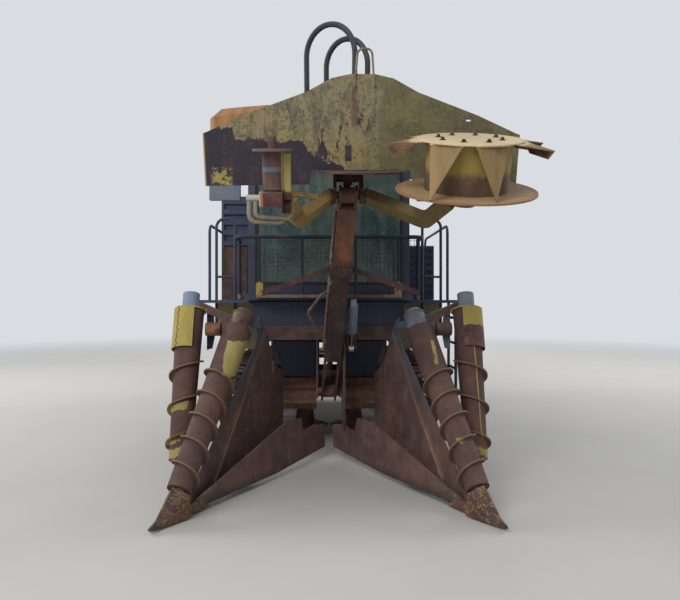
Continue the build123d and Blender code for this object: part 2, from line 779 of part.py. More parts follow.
def extractor(hood_node, fan_node, centre, radius, base_z, mouth_turn, ring):
    """Writes a round extractor: a fan on its shaft, and the domed hood that turns above it."""
    motor_radius = radius * 0.26
    dome_z = base_z + ring
    with BuildPart() as hood:
        outer, inner = (
            [
                (reach * cos(radians(90 * step / dome_steps)), dome_z + reach * sin(radians(90 * step / dome_steps)))
                for step in range(dome_steps)
            ]
            for reach in (radius, radius - dome_sheet)
        )
        crown = [(0, outer[-1][1]), (0, inner[-1][1])]
        with BuildSketch(Plane(origin=(centre[0], centre[1], 0), x_dir=(1, 0, 0), z_dir=(0, -1, 0))):
            with BuildLine():
                Polyline(
                    (radius, base_z), *outer, *crown, *reversed(inner), (radius - dome_sheet, base_z), close=True
                )
            make_face()
        revolve(axis=Axis((centre[0], centre[1], 0), (0, 0, 1)))
        mouth = Location((centre[0], centre[1], dome_z + radius * 0.1), (0, 0, mouth_turn))
        with Locations(mouth * Location((radius * 1.05, 0, 0), (0, -35, 0))):
            Box(radius * 1.2, 2.2 * radius, radius * 1.5, mode=Mode.SUBTRACT)
        with Locations((centre[0], centre[1], base_z + ring / 2)):
            Cylinder(motor_radius, ring)
            Box(2 * radius - 12, 60, 30)
            Box(60, 2 * radius - 12, 30)
    save(hood, hood_node)
    with BuildPart() as fan:
        fan_z = base_z - 190
        with Locations((centre[0], centre[1], fan_z)):
            Cylinder(motor_radius * 0.8, 120)
        with Locations((centre[0], centre[1], (fan_z + base_z) / 2)):
            Cylinder(30, base_z - fan_z - 2 * seat_gap)
        for blade in range(4):
            place = Location((centre[0], centre[1], fan_z), (0, 0, 90 * blade))
            with Locations(place * Location((radius * 0.53, 0, 0), (28, 0, 0))):
                Box(radius * 0.78, 150, 10)
    save(fan, fan_node)


extractor(
    "extractor_hood", "extractor_fan", (0, extractor_y), extractor_radius, extractor_top_z + 15 + seat_gap, 0, 150
)

# Elevator turntable: ring, base plate and the bowl that catches the billets
bowl_radius = 560
with BuildPart() as slew_base:
    with Locations((0, slew_y, slew_z)):
        Cylinder(330, 60)
    with Locations((0, (frame_rear_y + slew_y) / 2 - 60, slew_z)):
        Box(2 * (frame_half_width - 160), slew_y - frame_rear_y + 120, 60)
    for side in (-1, 1):
        with Locations((side * (frame_half_width - 170), frame_rear_y - 60, slew_z + 120)):
            Box(30, 300, 300)
        ear_reach = frame_half_width - frame_plate - seat_gap
        with Locations((side * (ear_reach - 75), frame_rear_y - 160, slew_z + 240)):
            Box(150, 120, 60)
save(slew_base, "slew_base")
with BuildPart() as turntable:
    with Locations((0, slew_y, slew_z + 30 + seat_gap + 20)):
        Cylinder(360, 40)
    for side in (-1, 1):
        with Locations((side * (elevator_width / 2 + 50), slew_y + 20, slew_z + 320)):
            Box(30, 300, 560)
    with Locations((0, slew_y, slew_z + 60)):
        Box(elevator_width + 130, 260, 40)
    with Locations(Location((0, slew_y, elevator_pivot_z), (0, 90, 0))):
        Cylinder(40, elevator_width + 130)
save(turntable, "turntable")

# Elevator boom: two side sheets with a floor, bent level at its head
rise = radians(elevator_rise)
boom_start = (slew_y, elevator_pivot_z)
boom_knee = (slew_y + elevator_run * cos(rise), elevator_pivot_z + elevator_run * sin(rise))
boom_end = (boom_knee[0] + elevator_head, boom_knee[1] + 120)
hopper_rise = 540
with BuildPart() as elevator:
    for side in (-1, 1):
        sheet(
            Plane.YZ.offset(side * (elevator_width / 2 - 5)),
            [
                (boom_start[0] - 60, boom_start[1] - 120),
                (boom_start[0] + 160, boom_start[1] - 130),
                (boom_knee[0] + 90, boom_knee[1] - elevator_depth / 2 - 20),
                (boom_end[0], boom_end[1] - elevator_depth / 2),
                (boom_end[0], boom_end[1] + elevator_depth / 2),
                (boom_knee[0] - 60, boom_knee[1] + elevator_depth / 2),
                (boom_start[0] + 420, boom_start[1] + 560),
                (boom_start[0] - 300, boom_start[1] + hopper_rise),
                (boom_start[0] - 220, boom_start[1] + 60),
            ],
            10,
        )
    hopper_foot = Vector(0, boom_start[0] - 215, boom_start[1] + 90)
    hopper_rim = Vector(0, boom_start[0] - 292, boom_start[1] + hopper_rise - 10)
    bar(hopper_foot, hopper_rim, elevator_width - 10, 8)
    bar((0, boom_start[0] + 120, boom_start[1] + 20), (0, *boom_knee), elevator_width - 10, 8)
    bar((0, *boom_knee), (0, boom_end[0], boom_end[1]), elevator_width - 10, 8)
    with Locations(Location((0, slew_y, elevator_pivot_z), (0, 90, 0))):
        Cylinder(75, elevator_width)
        Cylinder(40 + running_gap, 2 * elevator_width, mode=Mode.SUBTRACT)
save(elevator, "elevator")
with BuildPart() as elevator_flights:
    flight_count = 18
    for index in range(flight_count):
        share = (index + 0.8) / flight_count
        flight_y = boom_start[0] + 120 + (boom_knee[0] - boom_start[0] - 120) * share
        flight_z = boom_start[1] + 20 + (boom_knee[1] - boom_start[1] - 20) * share
        lift = Vector(0, -sin(rise), cos(rise))
        foot = Vector(0, flight_y, flight_z) + lift * (4 + seat_gap)
        bar(foot, foot + lift * 70, elevator_width - 80, 14)
save(elevator_flights, "elevator_flights")

throat_y = boom_end[0] - 480
throat_radius = 380
throat_rise = 330
extractor("elevator_hood", "elevator_fan", (0, throat_y), throat_radius, boom_end[1] + throat_rise, 90, 110)
head_start = (boom_knee[0] - 60, boom_knee[1] + elevator_depth / 2 + seat_gap)
head_finish = (boom_end[0], boom_end[1] + elevator_depth / 2 + seat_gap)
head_top_z = boom_end[1] + throat_rise - seat_gap
with BuildPart() as elevator_throat:
    sheet(
        Plane.YZ,
        [head_start, head_finish, (head_finish[0], head_top_z), (head_start[0], head_top_z)],
        2 * throat_radius,
    )
    with Locations((0, throat_y, head_top_z)):
        Cylinder(throat_radius, 2 * throat_rise, mode=Mode.INTERSECT)
    sheet(
        Plane.YZ,
        [head_start, head_finish, (head_finish[0], head_finish[1] + 8), (head_start[0], head_start[1] + 8)],
        elevator_width,
    )
    with Locations((0, throat_y, head_top_z)):
        Cylinder(throat_radius - 10, 4 * throat_rise, mode=Mode.SUBTRACT)
save(elevator_throat, "elevator_throat")

# Mast: square tube from the foot pin to the topper head, with two drooping guard bars
foot = Vector(0, mast_foot_y, mast_foot_z)
top = Vector(mast_top_x, mast_top_y, mast_top_z)
mast_line = (top - foot).normalized()
collar_along = 1380
collar_half = 40
with BuildPart() as mast:
    bar(foot + mast_line * 420, top - mast_line * 90, mast_tube, mast_tube)
    for side in (-1, 1):
        edge = Vector(side * (mast_tube / 2 - 12), 0, 0)
        bar(foot + mast_line * -70 + edge, foot + mast_line * 700 + edge, 20, 130)
        bar(top - mast_line * 300 + edge, top + mast_line * 60 + edge, 20, 120)
    for place in (foot, top):
        with Locations(Location(place, (0, 90, 0))):
            Cylinder(62, mast_tube - 4)
    for place in (foot, top):
        with Locations(Location(place, (0, 90, 0))):
            Cylinder(mast_pin_radius + running_gap, 4 * mast_tube, mode=Mode.SUBTRACT)
    barrel_seat = foot + mast_line * 1020
    rod(barrel_seat, Vector(cylinder_x + 30, barrel_seat.Y, barrel_seat.Z), cylinder_pin_radius)
    collar = foot + mast_line * collar_along
    bar(collar - mast_line * collar_half, collar + mast_line * collar_half, mast_tube + 30, mast_tube + 30)
    for side in (-1, 1):
        bar(collar + Vector(side * 60, 0, 0), collar + Vector(side * 660, -60, -215), 46, 46, side=(0, 1, 0))
save(mast, "mast")

# Mast pipes: two oil pipes on the mast's flank, two clamps and a hose loop beside them
mast_front = Vector(1, 0, 0).cross(mast_line).normalized()
pipe_radius = 13
pipe_side = -mast_tube / 2 - pipe_radius - seat_gap
with BuildPart() as mast_pipes:
    for ahead in (-24, 24):
        shift = Vector(pipe_side, 0, 0) + mast_front * ahead
        for begin, end in ((520, collar_along - collar_half - 14), (collar_along + collar_half + 14, 1900)):
            rod(foot + mast_line * begin + shift, foot + mast_line * end + shift, pipe_radius)
    for share in (620, 1240, 1820):
        shift = Vector(pipe_side, 0, 0)
        bar(foot + mast_line * share + shift, foot + mast_line * (share + 36) + shift, 2 * pipe_radius, 104)
    shift = Vector(pipe_side, 0, 0) - mast_front * 24
    tube_run(
        [
            foot + mast_line * 1140 + shift,
            foot + mast_line * 1090 + shift + Vector(-60, -20, 0),
            foot + mast_line * 900 + shift + Vector(-170, -40, 0),
            foot + mast_line * 720 + shift + Vector(-60, -20, 0),
            foot + mast_line * 650 + shift,
        ],
        60,
        pipe_radius,
    )
save(mast_pipes, "mast_pipes")

# Lower link that keeps the head level
link_shift = Vector(0, link_offset_y, link_offset_z)
with BuildPart() as mast_link:
    rod(foot + link_shift, top + link_shift, link_radius)
    for place in (foot + link_shift, top + link_shift):
        with Locations(Location(place, (0, 90, 0))):
            Cylinder(56, 70)
    for place in (foot + link_shift, top + link_shift):
        with Locations(Location(place, (0, 90, 0))):
            Cylinder(mast_pin_radius + running_gap, 4 * mast_tube, mode=Mode.SUBTRACT)
save(mast_link, "mast_link")

# Lift cylinder: barrel pinned beside the mast, rod eye at the beam bracket
barrel_radius = 42
piston_radius = 21
barrel_length = 420
cylinder_eye_radius = 40
barrel_pin = Vector(cylinder_x, (foot + mast_line * 1020).Y, (foot + mast_line * 1020).Z)
rod_pin = Vector(cylinder_x, rod_pin_y, rod_pin_z)
stroke_line = (rod_pin - barrel_pin).normalized()
stroke_length = (rod_pin - barrel_pin).length
with BuildPart() as lift_barrel:
    rod(barrel_pin + stroke_line * 20, barrel_pin + stroke_line * barrel_length, barrel_radius)
    with Locations(Location(barrel_pin, (0, 90, 0))):
        Cylinder(cylinder_eye_radius, 50)
        Cylinder(cylinder_pin_radius + running_gap, 100, mode=Mode.SUBTRACT)
    with BuildSketch(Plane(origin=barrel_pin + stroke_line * 60, z_dir=stroke_line)) as bore:
        Circle(piston_radius + running_gap)
    extrude(bore.sketch, amount=barrel_length, mode=Mode.SUBTRACT)
save(lift_barrel, "lift_barrel")
with BuildPart() as lift_rod:
    rod(barrel_pin + stroke_line * 130, rod_pin, piston_radius)
    with Locations(Location(rod_pin, (0, 90, 0))):
        Cylinder(cylinder_eye_radius, 46)
save(lift_rod, "lift_rod")

# Topper head: pivot bracket, V-shaped arms, spindle motors and the centre lip plate
tilt = radians(head_tilt)
head = Plane(
    origin=(head_x, mast_top_y, mast_top_z), x_dir=(1, 0, 0), z_dir=(0, -sin(tilt), cos(tilt))
)


def head_point(across, back, up):
    """A point given in the tilted frame of the topper head."""
    return head.from_local_coords(Vector(across, back, up))


arm_width = 105
arm_depth = 84
arm_bend = 120
arm_offset = 92
arm_seat = -70
arm_elbow_x = 470
motor_radius = 68
hose_feet = (-300, -258)
hose_foot_z = spindle_z - 145
fitting_radius = 21
bare_top = 250
bare_base = -40
motor_flange_radius = 130
topper_disc_base = 186
topper_disc_radius = 345
disc_back = -130
hood_front = -229
hood_base = 100
spindles = {}
for hand, shift, spindle_tilt in (("left", -bare_spacing, head_tilt), ("right", drum_spacing, drum_tilt)):
    lean = radians(spindle_tilt)
    spindles[hand] = Plane(
        origin=(head_x + shift, spindle_y, spindle_z),
        x_dir=(1, 0, 0),
        z_dir=(0, -sin(lean), cos(lean)),
    )
with BuildPart() as topper_frame:
    for edge in (mast_top_x - head_x - 105, mast_top_x - head_x + 105):
        sheet(
            Plane(origin=head_point(edge, 0, 0), x_dir=(0, cos(tilt), sin(tilt)), z_dir=(1, 0, 0)),
            [
                (-60, -60),
                (60, -70),
                (230, 20),
                (330, 120),
                (330, 400),
                (230, 400),
                (230, 178),
                (100, 172),
                (-60, 60),
            ],
            26,
        )
    for place in (top, top + link_shift):
        rod(
            Vector(mast_top_x - 118, place.Y, place.Z), Vector(mast_top_x + 118, place.Y, place.Z), mast_pin_radius
        )
    bar(head_point(-400, 280, 340), head_point(400, 280, 340), 90, 90, side=(0, 0, 1))
    for side, hand, arm_root in ((-1, "left", -124), (1, "right", 124)):
        spindle = spindles[hand]
        elbow = Vector(head_x + side * arm_elbow_x, mast_top_y - 290, mast_top_z - 235)
        root = head_point(mast_top_x - head_x + arm_root, -20, 0)
        seat = spindle.from_local_coords(Vector(-side * arm_offset, 30, arm_seat))
        box_run([root, elbow, seat], arm_bend, arm_depth, arm_width, (seat - root).cross(elbow - root))
        motor_base = bare_base if side < 0 else -100
        with BuildSketch(spindle.offset(motor_base)) as body:
            Circle(motor_radius)
        extrude(body.sketch, amount=(bare_top if side < 0 else 0) - motor_base)
        bar(
            head_point(side * 350, 280, 340),
            head_point(side * 350, hood_front + hood_sheet + seat_gap, 340),
            60,
            60,
            side=(0, 0, 1),
        )
    with BuildSketch(head.offset(topper_disc_base + 30)) as motor:
        with Locations((0, disc_back)):
            Circle(motor_radius)
    extrude(motor.sketch, amount=160)
    bar(head_point(0, disc_back, 330), head_point(0, 290, 330), 120, 60, side=(1, 0, 0))
    bare = spindles["left"]
    bar(
        bare.from_local_coords(Vector(arm_offset, 30, -60)),
        bare.from_local_coords(Vector(arm_offset, 30, bare_top - 12)),
        46,
        80,
    )
    bar(
        bare.from_local_coords(Vector(40, 30, bare_top - 60)),
        bare.from_local_coords(Vector(arm_offset, 30, bare_top - 60)),
        60,
        60,
        side=(0, 1, 0),
    )
    bar(
        bare.from_local_coords(Vector(-12, -18, bare_base - 60)),
        bare.from_local_coords(Vector(-12, -18, bare_base + 30)),
        150,
        120,
    )
    rod(
        bare.from_local_coords(Vector(-80, -30, bare_base - 8)),
        bare.from_local_coords(Vector(-175, -30, bare_base - 8)),
        fitting_radius,
    )
    for across in hose_feet:
        rod(Vector(across, spindle_y + 70, spindle_z - 75), Vector(across, spindle_y + 70, hose_foot_z), 18)
    strut = bare.from_local_coords(Vector(arm_offset, 30, bare_base + 20))
    bar(strut, strut + Vector(190, 150, 0), 34, 34, side=(0, 0, 1))
save(topper_frame, "topper_frame")

# Bare left spindle: the drum is gone, only its top flange and stub shaft are left
bare_flange = 14
stub_radius = 26
stub_reach = 80
with BuildPart() as drum_spindle:
    with BuildSketch(spindles["left"].offset(bare_top + seat_gap)):
        Circle(motor_flange_radius)
    extrude(amount=bare_flange)
    with BuildSketch(spindles["left"].offset(bare_top + seat_gap)):
        Circle(stub_radius)
    extrude(amount=bare_flange + stub_reach)
save(drum_spindle, "drum_spindle")

# Gathering drum: flange disc, drum with folded gussets, and a star plate with turned-down points
flange_radius = 465
drum_radius = 275
drum_height = 330
star_root = 345
star_inset = 318
star_half = 112
star_tip = 212
star_sheet = 8
fold_depth = 62
star_table = (
    # turn, droop, folded edge
    (-25, 10, True),
    (-76, 72, False),
    (-128, 62, False),
    (176, 8, True),
    (138, 6, False),
    (96, 6, False),
    (54, 6, False),
    (12, 8, True),
)
drum_plane = spindles["right"]
with BuildPart() as gathering_drum:
    with BuildSketch(drum_plane.offset(seat_gap)):
        Circle(flange_radius)
    extrude(amount=10)
    with BuildSketch(drum_plane.offset(seat_gap)):
        Circle(drum_radius)
    extrude(amount=drum_height)
    star_plane = drum_plane.offset(seat_gap + drum_height)
    with BuildSketch(star_plane):
        RegularPolygon(star_root, 2 * len(star_table))
    extrude(amount=star_sheet)
    for turn, droop, folded in star_table:
        angle = radians(turn)
        across = star_plane.x_dir * -sin(angle) + star_plane.y_dir * cos(angle)
        outward = star_plane.x_dir * cos(angle) + star_plane.y_dir * sin(angle)
        along = outward * cos(radians(droop)) - star_plane.z_dir * sin(radians(droop))
        root = star_plane.origin + outward * star_inset
        point = Plane(origin=root, x_dir=across, z_dir=across.cross(along))
        reach = star_tip / cos(radians(droop)) if droop < 45 else drum_height / sin(radians(droop)) - 12
        sheet(point, [(-star_half, 0), (star_half, 0), (0, reach)], star_sheet, both=False)
        if folded:
            edge = Vector(-star_half, reach, 0).normalized()
            side_line = across * edge.X + along * edge.Y
            fold = Plane(origin=root + across * star_half, x_dir=side_line, z_dir=side_line.cross(-star_plane.z_dir))
            length = hypot(star_half, reach)
            sheet(fold, [(20, 0), (length, 0), (length - 30, fold_depth), (70, fold_depth)], star_sheet)
save(gathering_drum, "gathering_drum")

# Topper cutting disc: a flat disc with blades under the hood
disc_plane = head.offset(topper_disc_base)
with BuildPart() as topper_disc:
    with BuildSketch(disc_plane):
        with Locations((0, disc_back)):
            Circle(topper_disc_radius)
    extrude(amount=12)
    with BuildSketch(disc_plane):
        with Locations((0, disc_back)):
            Circle(30)
    extrude(amount=30 - seat_gap)
save(topper_disc, "topper_disc")

# Topper hood: a folded sheet, peaked in the middle and open below and behind
notch_half_width = 365
hood_outline = [
    (0.000, 873),
    (85, 873),
    (220, 845),
    (400, 752),
    (840, 595),
    (1130, 470),
    (hood_half_width, 462),
    (hood_half_width, 85),
    (notch_half_width + 20, 100),
    (notch_half_width, 205),
]
hood_slots = (
    # across, up, length, turn
    (-645, 560, 36, 0),
    (-457, 560, 36, 0),
    (13, 575, 36, 0),
    (381, 560, 36, 0),
    (569, 560, 36, 0),
    (771, 560, 36, 0),
    (-226, 538, 66, 90),
    (-110, 520, 42, 90),
    (-117, 437, 38, 90),
)
slot_width = 11
ring = [(across, up) for across, up in hood_outline]
ring += [(-across, up) for across, up in reversed(hood_outline[1:])]
hood_plane = Plane(origin=head_point(0, hood_front, 0), x_dir=(1, 0, 0), z_dir=(0, -cos(tilt), -sin(tilt)))
with BuildPart() as topper_hood:
    with BuildSketch(hood_plane):
        with BuildLine():
            Polyline(*ring, close=True)
        make_face()
    extrude(amount=-hood_depth)
    with BuildSketch(hood_plane.offset(-hood_sheet)):
        with BuildLine():
            inner = [(across, up - hood_sheet) for across, up in hood_outline[:6]]
            inner[-1] = (hood_half_width - hood_sheet, hood_outline[6][1] - hood_sheet)
            inner.append((hood_half_width - hood_sheet, 0))
            Polyline(*inner, *[(-across, up) for across, up in reversed(inner[1:])], close=True)
        make_face()
    extrude(amount=-hood_depth, mode=Mode.SUBTRACT)
    with BuildSketch(hood_plane) as slots:
        for across, up, slot_length, turn in hood_slots:
            with Locations((across, up)):
                SlotOverall(slot_length, slot_width, rotation=turn)
    extrude(slots.sketch, amount=-2 * hood_sheet, mode=Mode.SUBTRACT)
    tube_run(
        [head_point(across, hood_front - 4, up) for across, up in ((-57, 784), (-38, 1039), (62, 1039), (83, 784))],
        40,
        8,
    )
save(topper_hood, "topper_hood")

# Hose arches over the hood
hose_radius = 21
hood_top = hood_outline[0][1]
with BuildPart() as topper_hoses:
    for left_x, right_x, spring_z in ((-410, -54, 1020), (-260, 40, 945)):
        low_left = head_point(left_x, 120, 400)
        left = head_point(left_x, 120, spring_z)
        right = head_point(right_x, -120, spring_z)
        low_right = head_point(right_x, -120, hood_top + seat_gap)
        crown = head_point(
            (left_x + right_x) / 2, 0, spring_z + hypot(right_x - left_x, 240) / 2
        )
        with BuildLine() as arch:
            Line(low_left, left)
            ThreePointArc(left, crown, right)
            Line(right, low_right)
        with BuildSketch(Plane(origin=arch.line @ 0, z_dir=arch.line % 0)) as section:
            RegularPolygon(hose_radius, 8)
        sweep(section.sketch, path=arch.line)
    fitting = bare.from_local_coords(Vector(-175, -30, bare_base - 8))
    for across, inset, sag, bend in ((hose_feet[0], 18, 64, 48), (hose_feet[1], 60, 34, 32)):
        start = fitting + Vector(inset, 0, -fitting_radius - seat_gap)
        finish = Vector(across, spindle_y + 70, hose_foot_z - seat_gap)
        bottom = finish.Z - sag
        tube_run(
            [start, Vector(start.X, start.Y, bottom), Vector(finish.X, finish.Y, bottom), finish], bend, 15
        )
save(topper_hoses, "topper_hoses")

# Crop dividers: splayed wall, low wing, toe shoe, lifting arms and the bearings of two scrolls each
scroll_table = (
    # name, foot x, foot y, foot z, top x, top y, top z, foot radius, top radius, pitch, share of flights, mirrored
    ("inner", 1085, 250, 225, 813, 1251, 1321, 88, 125, 205, 0.74, True),
    ("outer", 1213, 800, 293, 1236, 1270, 1490, 88, 122, 285, 0.66, False),
)
flight_height = 34
flight_thickness = 14
inner_cap_radius = 70
inner_cap_length = 230
outer_cap_radius = 74
outer_cap_length = 175
cowl_radius = 138
cowl_length = 370
cowl_sheet = 8
wall_hole_radius = 14
stub_length = 60
panel_yaw = atan(0.385)
wing_yaw = radians(30.8)
panel_outline = [
    (300, 50), (1200, 90), (2090, 300), (2120, 860), (1875, 1000), (1765, 1230), (1640, 1410), (1575, 1440),
    (1530, 1190), (420, 80),
]
wing_outline = [
    (250, 45), (1450, 55), (2290, 120), (2300, 340), (2100, 380), (1900, 335), (1860, 480), (1620, 490), (500, 130),
]


def plan(wall, run):
    """The plan position of a point on a divider wall, run along its foot."""
    point = wall.from_local_coords(Vector(run, 0, 0))
    return point.X, point.Y


for side, hand in ((-1, "left"), (1, "right")):
    toe = Vector(side * divider_toe_x, toe_y, 0)
    places = {}
    for row in scroll_table:
        name, foot_x, foot_back, foot_z, top_x, top_back, scroll_top_z = row[:7]
        low = Vector(side * foot_x, toe_y + foot_back, foot_z)
        high = Vector(side * top_x, toe_y + top_back, scroll_top_z)
        places[name] = (low, high, (high - low).normalized(), (high - low).length)
    with BuildPart() as divider:
        panel_plane = Plane(
            origin=toe,
            x_dir=(-side * sin(panel_yaw), cos(panel_yaw), 0),
            z_dir=(cos(panel_yaw), side * sin(panel_yaw), 0),
        )
        wing_plane = Plane(
            origin=toe,
            x_dir=(-side * sin(wing_yaw), cos(wing_yaw), 0),
            z_dir=(cos(wing_yaw), side * sin(wing_yaw), 0),
        )
        sheet(panel_plane, panel_outline, divider_plate)
        sheet(wing_plane, wing_outline, divider_plate)
        with BuildSketch(Plane.XY.offset(60)) as floor:
            with BuildLine():
                Polyline(
                    plan(panel_plane, 250),
                    plan(panel_plane, 1180),
                    plan(wing_plane, 1200),
                    plan(wing_plane, 250),
                    close=True,
                )
            make_face()
        extrude(floor.sketch, amount=10)
        toe_back = toe + Vector(-side * 130, 430, 0)
        toe_line = Vector(-side * 130, 430, 0).normalized()
        with BuildSketch(Plane(origin=toe_back, x_dir=(-toe_line.Y, toe_line.X, 0), z_dir=toe_line)) as back:
            with BuildLine():
                Polyline((side * 95, 30), (-side * 95, 30), (-side * 60, 120), (side * 60, 190), close=True)
            make_face()
        with BuildSketch(Plane(origin=toe, x_dir=(-toe_line.Y, toe_line.X, 0), z_dir=toe_line)) as tip:
            with BuildLine():
                Polyline((side * 14, 26), (-side * 14, 26), (-side * 10, 44), (side * 10, 54), close=True)
            make_face()
        loft([tip.sketch, back.sketch], ruled=True)
        low, high, line, length = places["inner"]
        rod(low - line * (stub_length + 60), low - line * seat_gap, 40)
        rod(high + line * seat_gap, high + line * inner_cap_length, inner_cap_radius)
        low, high, line, length = places["outer"]
        rod(low - line * (stub_length + 60), low - line * seat_gap, 40)
        rod(high + line * seat_gap, high + line * outer_cap_length, outer_cap_radius)
        rod(high + line * 6, high + line * 20, cowl_radius)
        with BuildSketch(Plane(origin=high + line * 20, x_dir=(1, 0, 0), z_dir=-line)) as cowl:
            Circle(cowl_radius)
            Circle(cowl_radius - cowl_sheet, mode=Mode.SUBTRACT)
            with Locations(Location((-side * 0.89 * cowl_radius, -0.45 * cowl_radius), side * 27)):
                Rectangle(2 * cowl_radius, 3 * cowl_radius, mode=Mode.SUBTRACT)
        extrude(cowl.sketch, amount=cowl_length)
        inner_cap = places["inner"][1] + places["inner"][2] * 90
        outer_cap = places["outer"][1] + places["outer"][2] * 100
        motor_y = toe_y + 1268
        sheet(
            Plane(origin=(0, motor_y + 62, 0), x_dir=(side, 0, 0), z_dir=(0, -side, 0)),
            [
                (1100, 1150), (1050, 1165), (1024, 1300), (1036, 1440), (1090, 1550), (1190, 1590), (1190, 1520),
                (1100, 1510),
            ],
            10,
        )
        rod(Vector(side * 962, motor_y, 1340), Vector(side * 1096, motor_y, 1340), 60)
        rod(Vector(side * 985, motor_y - 50, 1340), Vector(side * 985, motor_y - 86, 1325), 18)
        throat_face = -side * (divider_plate / 2 + 8)
        rod(
            panel_plane.from_local_coords(Vector(1330, 815, throat_face)),
            panel_plane.from_local_coords(Vector(790, 130, throat_face)),
            16,
        )
        bar(inner_cap, outer_cap, 70, 60, side=(0, 0, 1))
        outer_foot = places["outer"][0] - places["outer"][2] * 95
        bar(outer_foot, toe + Vector(-side * 110, 380, 90), 60, 50, side=(1, 0, 0))
        arm_root = panel_plane.from_local_coords(Vector(1580, 1370, 0))
        bar(inner_cap, arm_root, 60, 60, side=(0, 0, 1))
        pivot_x = side * (frame_half_width + 32)
        arm_start = panel_plane.from_local_coords(Vector(1850, divider_pivot_z - 10, 0))
        bar(arm_start, Vector(pivot_x, divider_pivot_y, divider_pivot_z), 36, 110)
        with Locations(Location((pivot_x, divider_pivot_y, divider_pivot_z), (0, 90, 0))):
            Cylinder(60, 56)
            Cylinder(divider_pin_radius + running_gap, 100, mode=Mode.SUBTRACT)
        with BuildSketch(panel_plane) as holes:
            with Locations((1666, 1280), (1356, 447)):
                Circle(wall_hole_radius)
        extrude(holes.sketch, amount=divider_plate, both=True, mode=Mode.SUBTRACT)
    save(divider, f"divider_{hand}")
    for row in scroll_table:
        name = row[0]
        foot_radius, top_radius, pitch, flight_share, mirrored = row[7:]
        low, high, line, length = places[name]
        cone = degrees(atan((top_radius - foot_radius) / length))
        with BuildPart() as scroll:
            base = Plane(origin=low, z_dir=line)
            with BuildSketch(base):
                Circle(foot_radius)
            with BuildSketch(base.offset(length)):
                Circle(top_radius)
            loft(ruled=True)
            with BuildLine() as path:
                Helix(
                    pitch=pitch,
                    height=flight_share * length - 60,
                    radius=foot_radius + (top_radius - foot_radius) * 50 / length,
                    center=low + line * 50,
                    direction=tuple(line),
                    cone_angle=cone,
                    lefthand=mirrored == (side < 0),
                )
            start = path.line @ 0
            radial = (start - (low + line * 50)).normalized()
            with BuildSketch(Plane(origin=start, x_dir=radial, z_dir=path.line % 0)) as section:
                Rectangle(2 * flight_height, flight_thickness)
            sweep(section.sketch, path=path.line, is_frenet=True)
        save(scroll, f"scroll_{name}_{hand}")
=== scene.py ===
"""Looks of a single-row sugarcane harvester on tracks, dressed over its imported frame."""

from math import cos, pi, radians, sin

import bmesh
import bpy
from mathutils import Matrix, Vector


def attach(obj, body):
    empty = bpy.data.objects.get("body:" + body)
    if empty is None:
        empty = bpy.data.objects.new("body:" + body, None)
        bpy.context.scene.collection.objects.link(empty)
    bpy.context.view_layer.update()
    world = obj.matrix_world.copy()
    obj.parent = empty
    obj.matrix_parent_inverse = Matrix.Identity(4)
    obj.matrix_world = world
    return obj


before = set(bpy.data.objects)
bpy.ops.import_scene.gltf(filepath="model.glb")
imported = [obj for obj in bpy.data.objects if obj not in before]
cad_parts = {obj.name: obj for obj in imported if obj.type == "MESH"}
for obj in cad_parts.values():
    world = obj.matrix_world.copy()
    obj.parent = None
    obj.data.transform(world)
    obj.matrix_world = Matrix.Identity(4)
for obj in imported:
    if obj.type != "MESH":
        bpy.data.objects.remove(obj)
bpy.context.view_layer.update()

# Camera
# The machine is seen from the front at eye height, a little over four metres ahead of its toe tips.
toe_y = -5.7043
eye_distance = 4.1
eye_height = 1.6
camera_data = bpy.data.cameras.new("camera")
camera_data.sensor_width = 36
camera_data.lens = 31.76
camera_data.clip_end = 200
camera = bpy.data.objects.new("camera", camera_data)
camera.location = (0, toe_y - eye_distance, eye_height)
camera.rotation_euler = (radians(90), 0, radians(-1.05))
bpy.context.scene.collection.objects.link(camera)
bpy.context.scene.camera = camera
bpy.context.scene.view_settings.view_transform = "Standard"

# Floor and light
# A pale seamless floor and surround under soft studio light: a broad lamp in front, on each side and behind.


def tint(code):
    """A colour from its usual six-digit code."""
    parts = [int(code[index : index + 2], 16) / 255 for index in (0, 2, 4)]
    return (*[part / 12.92 if part < 0.04045 else ((part + 0.055) / 1.055) ** 2.4 for part in parts], 1.0)


class Value:
    """A socket of a finish's node tree: Python's operators on it add the Math nodes."""

    def __init__(self, finish, socket):
        self.finish = finish
        self.socket = socket

    def maths(self, operation, *values):
        return self.finish.add("ShaderNodeMath", {"operation": operation}, dict(enumerate(values)))

    def __add__(self, other):
        return self.maths("ADD", self, other)

    def __sub__(self, other):
        return self.maths("SUBTRACT", self, other)

    def __rsub__(self, other):
        return self.maths("SUBTRACT", other, self)

    def __mul__(self, other):
        return self.maths("MULTIPLY", self, other)

    def __abs__(self):
        return self.maths("ABSOLUTE", self)

    __radd__ = __add__
    __rmul__ = __mul__

    def capped(self, limit):
        """The value where it is under the limit, and the limit elsewhere."""
        return self.maths("MINIMUM", self, limit)

    def joined(self, other):
        """The greater of two shares."""
        return self.maths("MAXIMUM", self, other)

    def zigzag(self, rise):
        """A line that runs from 0 up to a rise and down again, over and over."""
        return self.maths("PINGPONG", self, rise)

    def above(self, edge, soft=0.02):
        """1 where the value is over edge, 0 under it, with a soft step between."""
        values = {0: self, 1: edge - soft, 2: edge + soft, 3: 0.0, 4: 1.0}
        return self.finish.add("ShaderNodeMapRange", {"interpolation_type": "SMOOTHSTEP"}, values)

    def below(self, edge, soft=0.02):
        return 1 - self.above(edge, soft)

    def between(self, low, high, soft=0.02):
        return self.above(low, soft) * self.below(high, soft)


